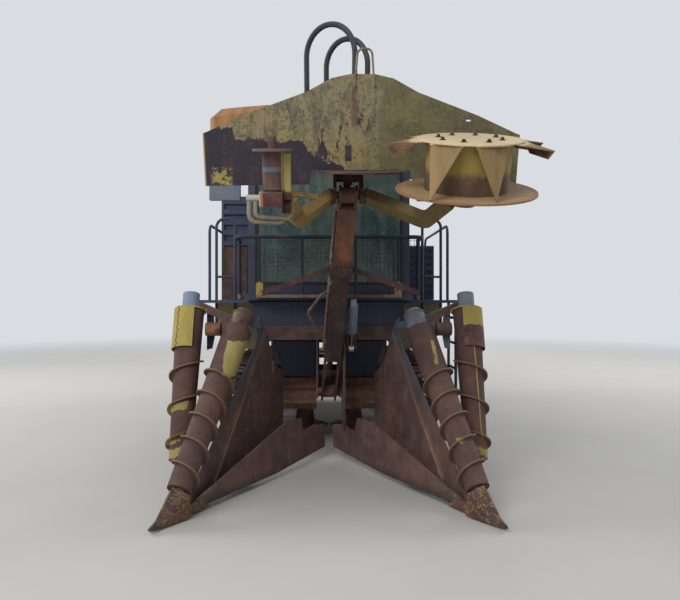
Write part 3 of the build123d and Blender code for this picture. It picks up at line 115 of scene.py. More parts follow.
class Finish:
    """A node material. add() makes any node from its type, its settings and its inputs."""

    def __init__(self, name, seed=0.0, size=1.0):
        self.material = bpy.data.materials.new(name)
        self.material.use_nodes = True
        self.tree = self.material.node_tree
        self.tree.nodes.clear()
        self.place = self.add("ShaderNodeTexCoord", output="Object")
        self.facing = self.add("ShaderNodeTexCoord", output="Normal")
        self.shift = (seed, -seed, seed * 0.6)
        self.broad = self.noise(1.2 * size, 5.0, 0.6)
        self.patch = self.noise(6.0 * size, 8.0, 0.64, bend=0.25)
        self.grain = self.noise(75 * size, 5.0, 0.7)
        self.runs = self.noise(12 * size, 4.0, 0.52, stretch=(1, 1, 0.06))

    def add(self, kind, settings=None, inputs=None, output=0):
        node = self.tree.nodes.new(kind)
        for name, value in (settings or {}).items():
            if name == "stops":
                ramp = node.color_ramp
                ramp.elements[0].position = value[0][0]
                ramp.elements[-1].position = value[-1][0]
                for position, _ in value[1:-1]:
                    ramp.elements.new(position)
                for element, (_, colour) in zip(ramp.elements, value):
                    element.color = colour
            else:
                setattr(node, name, value)
        for name, value in (inputs or {}).items():
            if isinstance(value, Value):
                self.tree.links.new(value.socket, node.inputs[name])
            else:
                node.inputs[name].default_value = value
        return Value(self, node.outputs[output]) if output is not None else None

    def axis(self, name, vector=None):
        """One coordinate of a vector, by default of the place on the machine in metres."""
        return self.add("ShaderNodeSeparateXYZ", inputs={0: vector or self.place}, output=name)

    def vectors(self, operation, first, second=(0, 0, 0), output=0):
        """A Vector Math node; its output is a vector, or a number where output is Value."""
        return self.add("ShaderNodeVectorMath", {"operation": operation}, {0: first, 1: second}, output)

    def along(self, origin, direction):
        """How far a place lies from an origin along a direction."""
        gap = self.vectors("SUBTRACT", self.place, tuple(origin))
        return self.vectors("DOT_PRODUCT", gap, tuple(direction), output="Value")

    def off_axis(self, origin, direction):
        """How far a place lies from the line through an origin along a direction."""
        gap = self.vectors("SUBTRACT", self.place, tuple(origin))
        side = self.vectors("CROSS_PRODUCT", gap, tuple(direction))
        return self.vectors("LENGTH", side, output="Value")

    def noise(self, scale, detail=4.0, rough=0.55, stretch=(1, 1, 1), bend=0.0):
        """A cloudy pattern, with the finish's own shift; a small stretch draws it out along that axis."""
        values = {"Vector": self.place, "Location": self.shift, "Scale": stretch}
        place = self.add("ShaderNodeMapping", inputs=values)
        values = {"Vector": place, "Scale": scale, "Detail": detail, "Roughness": rough, "Distortion": bend}
        return self.add("ShaderNodeTexNoise", inputs=values)

    def mix(self, share, first, second):
        """Blends two colours, each a code or an earlier result."""
        first = tint(first) if isinstance(first, str) else first
        second = tint(second) if isinstance(second, str) else second
        return self.add("ShaderNodeMix", {"data_type": "RGBA"}, {0: share, 6: first, 7: second}, output=2)

    def layered(self, colour, *layers):
        """Lays more colours over the first one, each over its own share of the surface."""
        for share, layer in layers:
            colour = self.mix(share, colour, layer)
        return colour

    def rust(self, dark="37262a", mid="694840", light="86604c", orange="8d5434"):
        """Old rust: dark and powdery patches, an orange grain and run marks."""
        colour = self.mix((self.patch * 0.6 + self.broad * 0.4).above(0.5, 0.12), dark, mid)
        colour = self.mix((self.patch * 0.5 + self.grain * 0.5).above(0.56, 0.07) * 0.55, colour, light)
        colour = self.mix((self.grain * 0.55 + self.broad * 0.45).above(0.56, 0.05) * 0.45, colour, orange)
        return self.mix(self.runs.above(0.56, 0.12) * 0.4, colour, dark)

    def paint(self, coat, stain, streaks=0.35):
        """Faded paint: stains in broad patches, specks and run marks."""
        colour = self.mix(self.broad.above(0.5, 0.14) * 0.5, coat, stain)
        colour = self.mix(self.grain.above(0.6, 0.04) * 0.35, colour, stain)
        return self.mix(self.runs.above(0.56, 0.1) * streaks, colour, stain)

    def flaked(self, worn, colour, under):
        """Paint flaked off over a share of the surface, with a stained rim round each bare place."""
        wear = self.patch * 0.52 + self.broad * 0.36 + self.grain * 0.12
        edge = 0.5 + (0.5 - worn) * 0.42
        colour = self.mix(wear.above(edge - 0.035, 0.03) * 0.45, colour, "6a4a3c")
        return self.mix(wear.above(edge, 0.006), colour, under)

    def surface(self, colour, roughness=0.7, metallic=0.0, bump=None, depth=0.002, **others):
        """Ends the finish with a Principled shader; bump is a height that goes through a Bump node."""
        values = {"Base Color": colour, "Roughness": roughness, "Metallic": metallic, **others}
        if bump is not None:
            values["Normal"] = self.add("ShaderNodeBump", inputs={"Height": bump, "Distance": depth})
        self.ends(self.add("ShaderNodeBsdfPrincipled", inputs=values))

    def ends(self, shader):
        """Joins the last shader to the material's output."""
        self.add("ShaderNodeOutputMaterial", inputs={"Surface": shader}, output=None)

    def outdoors(self, colour, roughness=0.72, dust=0.3, tone="8d7a66", depth=0.003, metallic=0.0):
        """Settles dust on what faces up and ends the finish with a rough, grainy surface."""
        settled = (self.axis("Z", self.facing) * 0.8 + self.patch * 0.7).above(0.95, 0.3) * dust
        colour = self.mix(settled, colour, tone)
        bump = self.grain * 0.5 + self.patch * 0.45
        self.surface(colour, roughness + self.grain * 0.2, metallic, bump, depth)


def plain_object(name, data):
    """Puts a mesh or a lamp into the scene as an object."""
    thing = bpy.data.objects.new(name, data)
    bpy.context.scene.collection.objects.link(thing)
    return thing


floor_reach, haze_middle, haze_half_depth = 90, 13.0, 6.0
floor_mesh = bpy.data.meshes.new("floor")
ground = bmesh.new()
bmesh.ops.create_grid(ground, x_segments=1, y_segments=1, size=floor_reach)
ground.to_mesh(floor_mesh)
ground.free()
floor = plain_object("floor", floor_mesh)
floor_finish = Finish("floor")
floor_tone = floor_finish.mix(floor_finish.broad * 0.5, "c6c2bb", "b3aea6")
shaded = floor_finish.add("ShaderNodeBsdfDiffuse", inputs={"Color": floor_tone})
backdrop = tint("d9dde2")
beyond = floor_finish.add("ShaderNodeEmission", inputs={"Color": backdrop, "Strength": 1.0})
ray_kinds = ("Is Camera Ray", "Is Glossy Ray", "Is Transmission Ray")
rays = [floor_finish.add("ShaderNodeLightPath", output=kind) for kind in ray_kinds]
seen_ray = (rays[0] + rays[1] + rays[2]).capped(1.0)
distance = floor_finish.vectors("LENGTH", floor_finish.place, output="Value")
far_away = distance.above(haze_middle, haze_half_depth) * seen_ray
floor_finish.ends(floor_finish.add("ShaderNodeMixShader", inputs={0: far_away, 1: shaded, 2: beyond}))
floor_mesh.materials.append(floor_finish.material)

world = bpy.data.worlds.new("surround")
bpy.context.scene.world = world
world.use_nodes = True
sky = world.node_tree
sky.nodes.clear()
lighting, seen = [sky.nodes.new("ShaderNodeBackground") for _ in range(2)]
for background, sky_colour, strength in ((lighting, tint("c4ccd6"), 0.85), (seen, backdrop, 1.0)):
    background.inputs["Color"].default_value = sky_colour
    background.inputs["Strength"].default_value = strength
light_path = sky.nodes.new("ShaderNodeLightPath")
any_ray = light_path.outputs[ray_kinds[0]]
for kind in ray_kinds[1:]:
    either = sky.nodes.new("ShaderNodeMath")
    either.operation = "MAXIMUM"
    sky.links.new(any_ray, either.inputs[0])
    sky.links.new(light_path.outputs[kind], either.inputs[1])
    any_ray = either.outputs[0]
blend = sky.nodes.new("ShaderNodeMixShader")
sky_out = sky.nodes.new("ShaderNodeOutputWorld")
sky.links.new(any_ray, blend.inputs["Fac"])
sky.links.new(lighting.outputs[0], blend.inputs[1])
sky.links.new(seen.outputs[0], blend.inputs[2])
sky.links.new(blend.outputs[0], sky_out.inputs["Surface"])

lamp_table = (
    # name, place, aim, size, watts
    ("lamp_front", (-4, toe_y - 7, 7.5), (0, toe_y + 1.5, 1.2), 6.0, 560),
    ("lamp_left", (-10, 0, 8), (0, 0, 1.5), 7.0, 640),
    ("lamp_right", (10, 2, 8), (0, 1, 1.5), 7.0, 520),
    ("lamp_rear", (2, 12, 9), (0, 3, 1.5), 7.0, 600),
)
for name, place, aim, size, watts in lamp_table:
    lamp = bpy.data.lights.new(name, "AREA")
    lamp.shape = "DISK"
    lamp.size = size
    lamp.energy = watts
    holder = plain_object(name, lamp)
    holder.location = place
    holder.rotation_euler = (Vector(aim) - Vector(place)).to_track_quat("-Z", "Y").to_euler()

# Running gear
# Two loops of wide steel shoes on beams with idler, drive wheel and rollers, in steel under rust and mud.


def dress(finish, *nodes):
    """Gives CAD nodes their finish."""
    for name in nodes:
        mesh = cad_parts[name].data
        mesh.materials.clear()
        mesh.materials.append(finish.material)


def painted(name, nodes, coat, stain, worn, roughness, seed, dust=0.3, size=1.0):
    """Gives CAD nodes faded paint that has flaked off to rust over the worn share of the surface."""
    finish = Finish(name, seed, size)
    colour = finish.flaked(worn, finish.paint(coat, stain), finish.rust())
    finish.outdoors(colour, roughness, dust)
    dress(finish, *nodes)
    return finish


track_finish = Finish("track_steel", seed=3.0)
track_colour = track_finish.rust(dark="2b211f", mid="4e3a33", light="6f5646", orange="7b5238")
track_finish.outdoors(track_colour, dust=0.55, tone="857060", metallic=0.2)
dress(track_finish, "track_left", "track_right")
frame_nodes = ("undercarriage", "main_frame", "slew_base")
blue_finish = painted(
    "frame_paint", frame_nodes, "27324a", "3a424b", worn=0.25, roughness=0.5, seed=1.0, dust=0.35
)


def piece(name, shape, finish, body):
    """Makes a modelled shape a piece that rides on a body, with its finish and material slot."""
    mesh = bpy.data.meshes.new(name)
    shape.to_mesh(mesh)
    shape.free()
    mesh.materials.append(finish.material)
    thing = plain_object(name, mesh)
    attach(thing, body)


def bolt_heads(shape, places, direction, radius):
    """Adds hexagon heads on washers that all face one way."""
    turn = Vector(direction).to_track_quat("Z", "Y").to_matrix().to_4x4()
    washer_radius = radius * 1.65
    for place in places:
        spot = Matrix.Translation(place) @ turn
        washer = {"radius1": washer_radius, "radius2": washer_radius, "depth": radius * 0.5}
        bmesh.ops.create_cone(shape, cap_ends=True, segments=12, matrix=spot, **washer)
        head = {"radius1": radius, "radius2": radius * 0.84, "depth": radius * 1.3}
        lift = Matrix.Translation((0, 0, radius * 0.75))
        bmesh.ops.create_cone(shape, cap_ends=True, segments=6, matrix=spot @ lift, **head)


def row(start, end, count):
    """Evenly spaced places from one point to another."""
    start, end = Vector(start), Vector(end)
    return [start.lerp(end, index / (count - 1)) for index in range(count)]


bolt_finish = Finish("bolt_steel", seed=5.0, size=3.0)
bolt_colour = bolt_finish.rust(dark="2e2322", mid="5a4238", light="7f6654")
bolt_finish.outdoors(bolt_colour, 0.6, dust=0.2, metallic=0.3)
frame_half_width = 0.6205
frame_bolts = bmesh.new()
frame_rows = (
    # distance from the toes and height at each end, number of bolts
    ((2.55, 1.52), (6.15, 1.52), 18),
    ((2.68, 0.545), (4.2, 0.545), 8),
    ((4.4, 0.585), (6.2, 0.95), 9),
)
for side in (-1, 1):
    for start, end, count in frame_rows:
        first, last = [(side * frame_half_width, toe_y + back, height) for back, height in (start, end)]
        bolt_heads(frame_bolts, row(first, last, count), (side, 0, 0), radius=0.016)
piece("frame_bolts", frame_bolts, bolt_finish, "machine")

# Front of the frame
# Dark blue apron plates in three widths over a rusty cross beam, which carries the mast and knockdown roller.
apron_finish = Finish("apron_paint", seed=6.0)
seam_x = 0.377
seams = abs(abs(apron_finish.axis("X")) - seam_x).below(0.004, 0.002)
# Painted light: patches of the apron below 1.25 m are lightened with grey against the shade that falls there.
apron_painted_light = apron_finish.axis("Z").below(1.25, 0.1) * apron_finish.patch.above(0.45, 0.12)
apron_colour = apron_finish.layered(
    apron_finish.flaked(0.1, apron_finish.paint("1b2740", "252e42"), apron_finish.rust()),
    (seams, "10131a"),
    (apron_painted_light * 0.4, "33363c"),
)
apron_finish.outdoors(apron_colour, 0.45, dust=0.15)
dress(apron_finish, "front_apron")
beam_finish = Finish("beam_rust", seed=7.0)
beam_colour = beam_finish.rust(dark="3f2f2e", mid="5c4741", light="7a6053", orange="6f4a35")
beam_low = beam_finish.axis("Z").below(1.2, 0.04)
beam_colour = beam_finish.mix(beam_low * 0.7, beam_colour, beam_finish.rust(dark="33272a", mid="4a3835"))
beam_finish.outdoors(beam_colour)
dress(beam_finish, "front_beam")


def rusted(name, nodes, seed, roughness=0.72, **shades):
    """Gives CAD nodes bare rust; the shades are those of Finish.rust."""
    finish = Finish(name, seed)
    finish.outdoors(finish.rust(**shades), roughness)
    dress(finish, *nodes)
    return finish


cutter_nodes = ("cutter_gearbox", "base_cutter_left", "base_cutter_right", "butt_lifter")
rust_finish = rusted("scale_rust", cutter_nodes, seed=11.0, roughness=0.75)
rusted("roller_rust", ["knockdown_roller"], seed=12.0, dark="3f2f2c", mid="70544a", light="8f7262")

# Cab
# Dark blue shell and door round large greenish panes in rubber, under an orange visor roof with oval lamps.
cab_front_y = toe_y + 1.7
shell_nodes = ("cab_floor", "cab_shell", "cab_door")
painted("cab_paint", shell_nodes, "26314a", "39404c", worn=0.1, roughness=0.42, seed=9.0, dust=0.25)
roof_finish = Finish("roof_paint", seed=13.0)
roof_colour = roof_finish.flaked(0.3, roof_finish.paint("b0753a", "8c6a3c"), roof_finish.rust(mid="6a3d2c"))
roof_colour = roof_finish.mix(roof_finish.runs.above(0.52, 0.1) * 0.4, roof_colour, "5b4030")
roof_finish.outdoors(roof_colour, 0.6)
dress(roof_finish, "cab_roof")
pane_finish = Finish("window_glass", seed=10.0)
pane_colour = pane_finish.mix(pane_finish.broad.above(0.5, 0.15), "46605c", "62726a")
pane_colour = pane_finish.mix(pane_finish.runs.above(0.55, 0.1) * 0.5, pane_colour, "7c857b")
grime = pane_finish.patch.above(0.52, 0.14) * 0.25 + pane_finish.axis("Z").below(1.95, 0.2) * 0.25
pane_finish.surface(pane_colour, 0.08 + pane_finish.runs.above(0.5, 0.15) * 0.3, Alpha=0.5 + grime)
dress(pane_finish, "cab_glass", "door_glass")
lens_finish = Finish("lamp_lens")
ribs = lens_finish.noise(40, 2.0, 0.5, stretch=(1, 0.1, 0.1))
lens_finish.surface(lens_finish.mix(ribs, "a9aca8", "d5d6cf"), 0.2, 0.1, bump=ribs)
dress(lens_finish, "roof_lamps")
guard_finish = Finish("guard_paint", seed=15.0)
guard_z = guard_finish.axis("Z")
ledge = guard_z.between(1.61, 1.655, 0.004)
corner = guard_z.between(1.648, 1.77, 0.004) * abs(guard_finish.axis("X")).between(0.61, 0.685, 0.002)
guard_colour = guard_finish.layered(
    guard_finish.flaked(0.22, guard_finish.paint("1c2536", "2b2f38"), guard_finish.rust()),
    (ledge, guard_finish.rust(dark="5e4a3e", mid="8a705e", light="a08872")),
    (corner, guard_finish.flaked(0.4, guard_finish.paint("a9914a", "7d6c40"), guard_finish.rust())),
)
guard_finish.outdoors(guard_colour)
dress(guard_finish, "cab_guard")
mirror_finish = Finish("mirror_shell", seed=16.0)
mirror_finish.outdoors(mirror_finish.paint("6d7682", "555c66"), 0.5)
dress(mirror_finish, "mirrors")
seat_finish = Finish("seat_cloth")
weave = seat_finish.noise(260, 2.0, 0.6)
seat_finish.surface(seat_finish.mix(weave, "26262a", "3a3a40"), 0.95, bump=weave, depth=0.001)
dress(seat_finish, "cab_seat")
console_finish = Finish("console_plastic")
pores = console_finish.noise(180, 3.0, 0.6)
console_finish.surface(console_finish.mix(pores, "1c1c1e", "2e2e30"), 0.6, bump=pores, depth=0.0006)
dress(console_finish, "cab_console")


def framed(shape, corner, across, up, width, thick):
    """Adds a flat rim round the rectangle that starts at a corner and spans two vectors."""
    corner, across, up = Vector(corner), Vector(across), Vector(up)
    right, rise = across.normalized() * width, up.normalized() * width
    outer = [corner, corner + across, corner + across + up, corner + up]
    shifts = [right + rise, rise - right, -right - rise, right - rise]
    inner = [spot + shift for spot, shift in zip(outer, shifts)]
    outside, inside = [[shape.verts.new(spot) for spot in loop] for loop in (outer, inner)]
    rim = [shape.faces.new((outside[i - 1], outside[i], inside[i], inside[i - 1])) for i in range(4)]
    shape.normal_update()
    bmesh.ops.solidify(shape, geom=rim, thickness=thick)


rubber_finish = Finish("seal_rubber")
rubber_colour = rubber_finish.mix(rubber_finish.grain, "141416", "2a2a2c")
rubber_finish.surface(rubber_colour, 0.8, bump=rubber_finish.grain)
seals = bmesh.new()
window_sill, window_height = 1.745, 1.25
window_table = (
    # a lower corner's x and its distance back from the cab's front, then the window's span along x and y
    (-0.715, -0.004, 1.43, 0),
    (0.715, 1.454, -1.43, 0),
    (-0.784, 1.385, 0, -1.32),
)
for corner_x, corner_back, span_x, span_y in window_table:
    lower_corner = (corner_x, cab_front_y + corner_back, window_sill)
    framed(seals, lower_corner, (span_x, span_y, 0), (0, 0, window_height), width=0.028, thick=0.012)
piece("window_seals", seals, rubber_finish, "machine")

# Wire mesh of the cab guard
# Thin rusty wires, upright and level, laid across each other between the posts and the rail.
guard_y = cab_front_y - 0.19
mesh_low, mesh_high, mesh_half = 1.70, 2.17, 0.84
wire_pitch, wire_thickness = 0.04, 0.003
uprights, levels = 43, 12
wires = bmesh.new()
for index in range(uprights):
    place = (index * wire_pitch - mesh_half, guard_y - 0.002, (mesh_low + mesh_high) / 2)
    size = Matrix.Diagonal((wire_thickness, wire_thickness, mesh_high - mesh_low, 1))
    bmesh.ops.create_cube(wires, size=1, matrix=Matrix.Translation(place) @ size)
for index in range(levels):
    place = (0, guard_y + 0.002, mesh_low + 0.015 + index * wire_pitch)
    size = Matrix.Diagonal((2 * mesh_half, wire_thickness, wire_thickness, 1))
    bmesh.ops.create_cube(wires, size=1, matrix=Matrix.Translation(place) @ size)
wire_finish = Finish("guard_wire", seed=18.0, size=4.0)
wire_finish.outdoors(wire_finish.rust(dark="20262e", mid="3c3a3a", light="55483f"), 0.7)
piece("guard_mesh", wires, wire_finish, "machine")

# Platforms, tanks and boxes
# Walkways with tube rails beside the cab, cream tanks below, a louvred cooling box and a rusty stowage box.
platform_nodes = ("platform_left", "platform_right", "cooling_box", "engine_hood", "radiator_box")
painted("platform_paint", platform_nodes, "2b3a58", "3f4852", worn=0.3, roughness=0.55, seed=17.0)
cream_nodes = ("side_tanks", "cleaning_chamber")
painted("cream_paint", cream_nodes, "a89c78", "7c7358", worn=0.18, roughness=0.6, seed=19.0)
rusted("stowage_rust", ["stowage_box"], seed=21.0, dark="4d3a34", mid="71574a", light="8a7060")
engine_finish = Finish("engine_iron", seed=22.0)
engine_colour = engine_finish.mix(engine_finish.patch, "1e1d1d", "3b3733")
engine_finish.surface(engine_colour, 0.5 + engine_finish.patch * 0.3, 0.5, bump=engine_finish.patch)
dress(engine_finish, "engine_block")

# Extractors and elevator
# Dark blue domed hoods over round throats, and a long slewing boom with its chain flights.
dome_nodes = ("extractor_hood", "elevator_hood")
painted("dome_paint", dome_nodes, "1e2c48", "333c4c", worn=0.1, roughness=0.4, seed=23.0, dust=0.35)
dress(rust_finish, "extractor_fan", "elevator_fan", "elevator_flights")
dress(blue_finish, "turntable", "elevator", "elevator_throat")

# Mast and lift cylinder
# A rusty square tube with a collar, two drooping guard bars and worn pipes on its flank, held up by a
# grey-blue cylinder with a bright rod.
mast_finish = Finish("mast_rust", seed=27.0)
collar = mast_finish.axis("Z").between(1.93, 2.09, 0.01)
mast_low = mast_finish.axis("Z").below(1.9, 0.04)
mast_colour = mast_finish.layered(
    mast_finish.rust(dark="3e2a26", mid="5e4238", light="7a5a48"),
    (collar * 0.6, mast_finish.rust(mid="7c4f36", light="96694a")),
    (mast_low * 0.65, mast_finish.rust(dark="171519", mid="231d20", light="30282a")),
)
mast_finish.outdoors(mast_colour)
dress(mast_finish, "mast", "mast_link")
painted("pipe_paint", ["mast_pipes"], "8a7d62", "6a5c48", worn=0.5, roughness=0.6, seed=28.0, size=2.0)
painted("barrel_paint", ["lift_barrel"], "77838f", "5a636c", worn=0.25, roughness=0.5, seed=29.0)
chrome_finish = Finish("plated_rod", seed=30.0)
wipe = chrome_finish.noise(40, 3.0, 0.6, stretch=(1, 1, 0.2))
chrome_finish.surface(chrome_finish.mix(wipe, "c8c8cc", "9a948c"), 0.15 + wipe * 0.2, 1.0)
dress(chrome_finish, "lift_rod")

# Topper head
# Two bent box arms in worn yellow, with a rusty motor block and a bare brown spindle on the left.
lean = radians(15)
bare_origin = Vector((-0.368, toe_y - 0.13, 2.325))
bare_line = Vector((0, -sin(lean), cos(lean)))
arm_finish = Finish("arm_paint", seed=31.0)
arm_x, arm_z = arm_finish.axis("X"), arm_finish.axis("Z")
bare_height = arm_finish.along(bare_origin, bare_line)
bare_reach = arm_finish.off_axis(bare_origin, bare_line)
motor_colour = arm_finish.layered(
    arm_finish.rust(dark="3c2c2c", mid="644a42", light="7a6052"),
    (bare_height.between(0.12, 0.152, 0.003), arm_finish.paint("5f6a78", "50565e")),
    (bare_height.between(-0.004, 0.006, 0.002), "120f10"),
)
elbow = arm_x.between(-0.25, 0.02, 0.03)
right_arm = arm_x.above(0.27, 0.05)
motor = bare_reach.below(0.082, 0.004) * bare_height.above(-0.12, 0.01)
upright = arm_x.between(-0.31, -0.245, 0.003) * bare_height.above(0.0, 0.01)
lower_block = bare_reach.below(0.12, 0.004) * bare_height.below(-0.012, 0.003)
fitting = arm_x.below(-0.447, 0.003)
middle = abs(arm_x - 0.15).below(0.14, 0.01) * arm_z.below(2.62, 0.03)
arm_colour = arm_finish.layered(
    arm_finish.flaked(0.4, arm_finish.paint("988446", "76673f"), arm_finish.rust(dark="453129")),
    (elbow * 0.5, arm_finish.paint("8a5f36", "6e6a34")),
    (right_arm * 0.7, arm_finish.rust(dark="3f3526", mid="6d5e36", light="84703e")),
    (motor, motor_colour),
    (upright, arm_finish.paint("ab9a5c", "8f7f4c")),
    (lower_block, arm_finish.rust(dark="3a2222", mid="5c3630", light="7a4c3c")),
    (lower_block * arm_x.below(-0.43, 0.003), arm_finish.paint("a86a3a", "7e5236")),
    (fitting, arm_finish.paint("b5b2a6", "8b867a")),
    (middle, arm_finish.rust(dark="3c2926", mid="644639", light="7e5c48")),
)
arm_finish.outdoors(arm_colour)
dress(arm_finish, "topper_frame")
spindle_finish = Finish("spindle_primer", seed=32.0, size=2.0)
stub = spindle_finish.along(bare_origin, bare_line).above(0.268, 0.003)
spindle_colour = spindle_finish.mix(stub, spindle_finish.paint("775a4c", "5a463f"), spindle_finish.rust())
spindle_finish.outdoors(spindle_colour, 0.6)
dress(spindle_finish, "drum_spindle")
dress(rust_finish, "topper_disc")
hose_finish = Finish("hose_rubber", seed=34.0)
wrap = hose_finish.noise(120, 3.0, 0.6)
hose_colour = hose_finish.mix(wrap, "1d2026", "363b44")
low_hose = hose_finish.axis("Z").below(2.5, 0.02)
hose_colour = hose_finish.mix(low_hose, hose_colour, hose_finish.paint("8b7f68", "5c5548"))
hose_finish.surface(hose_colour, 0.6, bump=wrap, depth=0.001)
dress(hose_finish, "topper_hoses")

# Topper hood
# One folded sheet with a peaked crest. Yellow paint is left on the crest and above a ragged edge that falls
# to the right; below it the primer is bare, and the right half is grown over with mildew.
hood_finish = Finish("hood_paint", seed=33.0)
hood_x, hood_z = hood_finish.axis("X"), hood_finish.axis("Z")
edge_left, edge_width, edge_base = -1.0, 2.5, 2.3
edge_table = (
    # share of the width from the left, height of the paint's edge above its base
    (0.0, 0.53),
    (0.12, 0.55),
    (0.127, 0.46),
    (0.222, 0.473),
    (0.329, 0.452),
    (0.335, 0.397),
    (0.388, 0.327),
    (0.441, 0.279),
    (0.452, 0.255),
    (0.616, 0.245),
    (0.64, 0.10),
    (1.0, 0.05),
)
stops = [(share, (height, height, height, 1)) for share, height in edge_table]
edge_share = (hood_x - edge_left) * (1 / edge_width)
edge_height = hood_finish.add("ShaderNodeValToRGB", {"stops": stops}, {0: edge_share})
ragged = hood_finish.patch * 0.07 + hood_finish.noise(24, 4.0, 0.7) * 0.11
bare = (edge_height + edge_base - hood_z + ragged).above(0.09, 0.004)
bright = hood_x.between(-0.68, -0.16, 0.02) * hood_z.between(2.74, 2.93, 0.02)
golden = hood_x.between(-0.42, 0.3, 0.08) * hood_z.below(2.78, 0.12) * hood_finish.patch.above(0.42, 0.1)
long_runs = hood_finish.noise(17, 3.0, 0.6, stretch=(1, 1, 0.09)).above(0.57, 0.04) * hood_z.above(2.62, 0.15)
speckles = (hood_finish.noise(48, 3.0, 0.6) * 0.65 + hood_finish.patch * 0.35).above(0.545, 0.02)
faded = (hood_finish.noise(30, 4.0, 0.65) * 0.7 + hood_finish.broad * 0.3).above(0.53, 0.03)
yellow = hood_finish.layered(
    hood_finish.paint("8c8060", "6a6250", 0.5),
    (bright * 0.7, hood_finish.paint("90825c", "746a52")),
    (hood_finish.runs.above(0.52, 0.06) * 0.35, "5c5544"),
    (golden * 0.7, hood_finish.paint("a58e50", "857442", 0.2)),
    (long_runs * 0.55, "4f4a40"),
    (speckles * 0.55, "4a3f36"),
    (faded * 0.5, "9c8c58"),
)
yellow = hood_finish.flaked(0.22, yellow, hood_finish.rust(dark="33272c", mid="4e3a36"))
mildew = (hood_x + hood_finish.patch * 0.2).above(0.47, 0.04)
grown = hood_finish.mix(hood_finish.patch.above(0.5, 0.1), "4d4938", "6d6641")
grown = hood_finish.mix(hood_finish.grain.above(0.54, 0.06) * 0.6, grown, "857a48")
yellow = hood_finish.mix(mildew * 0.75, yellow, grown)
primer = hood_finish.rust(dark="25202c", mid="352b35", light="54423f", orange="664a36")
islands = hood_finish.noise(9, 5.0, 0.7, stretch=(1, 1, 0.35)).above(0.585, 0.006)
islands = islands * hood_x.between(-0.25, 0.3, 0.06) * hood_z.below(2.98, 0.08)
scrap_noise = hood_finish.noise(26, 4.0, 0.7).above(0.5, 0.02)
scrap = hood_x.between(-0.86, -0.72, 0.02) * hood_z.between(2.43, 2.57, 0.015) * scrap_noise
strip = hood_x.between(0.117, 0.165, 0.004) * hood_z.between(2.62, 2.73, 0.006)
streak = hood_x.between(0.163, 0.207, 0.01) * hood_z.between(2.86, 3.13, 0.03)
streak = streak * hood_finish.patch.above(0.42, 0.06)
end_strip = hood_x.below(-0.905, 0.003)
hood_colour = hood_finish.layered(
    yellow,
    (bare.joined(islands), primer),
    (scrap, hood_finish.paint("a8934e", "85763f")),
    (strip, primer),
    (streak * 0.85, hood_finish.rust(dark="4a352b", mid="6f5440", light="7d6448")),
    (end_strip * 0.9, hood_finish.paint("b09a4c", "84763f")),
)
hood_finish.outdoors(hood_colour, 0.66, dust=0.25)
dress(hood_finish, "topper_hood")

# Gathering drum
# A rolled drum on a wide flange under a star plate with folded points, in yellow and sand-coloured paint that
# has rusted at the drum's foot and on the folds. The drooping front points wear a darker copy of the star's
# sand paint: their sand is real, the darkening is painted shade.
drum_lean = radians(21.6)
drum_origin = Vector((0.906, toe_y - 0.13, 2.325))
drum_line = Vector((0, -sin(drum_lean), cos(drum_lean)))
drum_back = Vector((0, cos(drum_lean), sin(drum_lean)))
drum_finish = Finish("drum_paint", seed=35.0)
drum_height = drum_finish.along(drum_origin, drum_line)
drum_reach = drum_finish.off_axis(drum_origin, drum_line)
foot = (0.11 - drum_height + drum_finish.patch * 0.12).above(0.03, 0.03)
flange = drum_height.below(0.014, 0.002)
flange_colour = drum_finish.flaked(0.2, drum_finish.paint("a4845c", "7c6248"), drum_finish.rust())
rim = drum_reach.above(0.435, 0.006)
flange_colour = drum_finish.mix(rim * 0.8, flange_colour, drum_finish.paint("9a5f33", "7b4e30"))
star = drum_height.above(0.322, 0.003)
front_side = drum_finish.along(drum_origin, drum_back).below(-0.2, 0.02)
# Painted shade: the drooping front points get a darker copy of the star's sand paint.
drooped_shaded = front_side * drum_reach.above(0.285, 0.003) * drum_height.between(0.018, 0.324, 0.003)
folds = (1 - front_side) * drum_reach.above(0.33, 0.006) * drum_height.between(0.02, 0.318, 0.004)
drum_colour = drum_finish.layered(
    drum_finish.flaked(0.2, drum_finish.paint("a58c45", "80703f"), drum_finish.rust()),
    (foot * 0.85, drum_finish.rust(dark="3d2a30", mid="5d4038")),
    (flange, flange_colour),
    (star, drum_finish.flaked(0.12, drum_finish.paint("e2cba2", "bfa67f", 0.25), drum_finish.rust())),
    (drooped_shaded, drum_finish.flaked(0.3, drum_finish.paint("94794f", "6f5b3c", 0.5), drum_finish.rust())),
    (folds, drum_finish.rust(dark="4a3129", mid="7a5540", light="a07a54")),
)
drum_finish.outdoors(drum_colour, 0.66, dust=0.3, tone="a38f70")
dress(drum_finish, "gathering_drum")
star_bolts = bmesh.new()
star_height, bolt_ring, bolt_count = 0.3387, 0.205, 8
star_face = drum_origin + drum_line * star_height
for index in range(bolt_count):
    turn = 2 * pi * (index + 0.5) / bolt_count
    outward = Vector((cos(turn), 0, 0)) + drum_back * sin(turn)
    bolt_heads(star_bolts, [star_face + outward * bolt_ring], drum_line, radius=0.013)
piece("star_bolts", star_bolts, bolt_finish, "gathering_drum")

# Crop dividers
# Splayed rusty plates. The caps over the scrolls are grey or brown, the outer cowls keep yellow paint, and
# the tops and front edges of the walls are blue-grey.
inner_foot, inner_top = (1.085, 0.250, 0.225), (0.813, 1.251, 1.321)
outer_foot, outer_top = (1.213, 0.800, 0.293), (1.236, 1.270, 1.490)


def divider_place(side, place):
    """A place on a divider, from its distances outward, back from the toes and up."""
    return Vector((side * place[0], toe_y + place[1], place[2]))


def scroll_line(side, foot, top):
    """Where a scroll's axis starts and ends, and its direction."""
    low, high = divider_place(side, foot), divider_place(side, top)
    return low, high, (high - low).normalized()


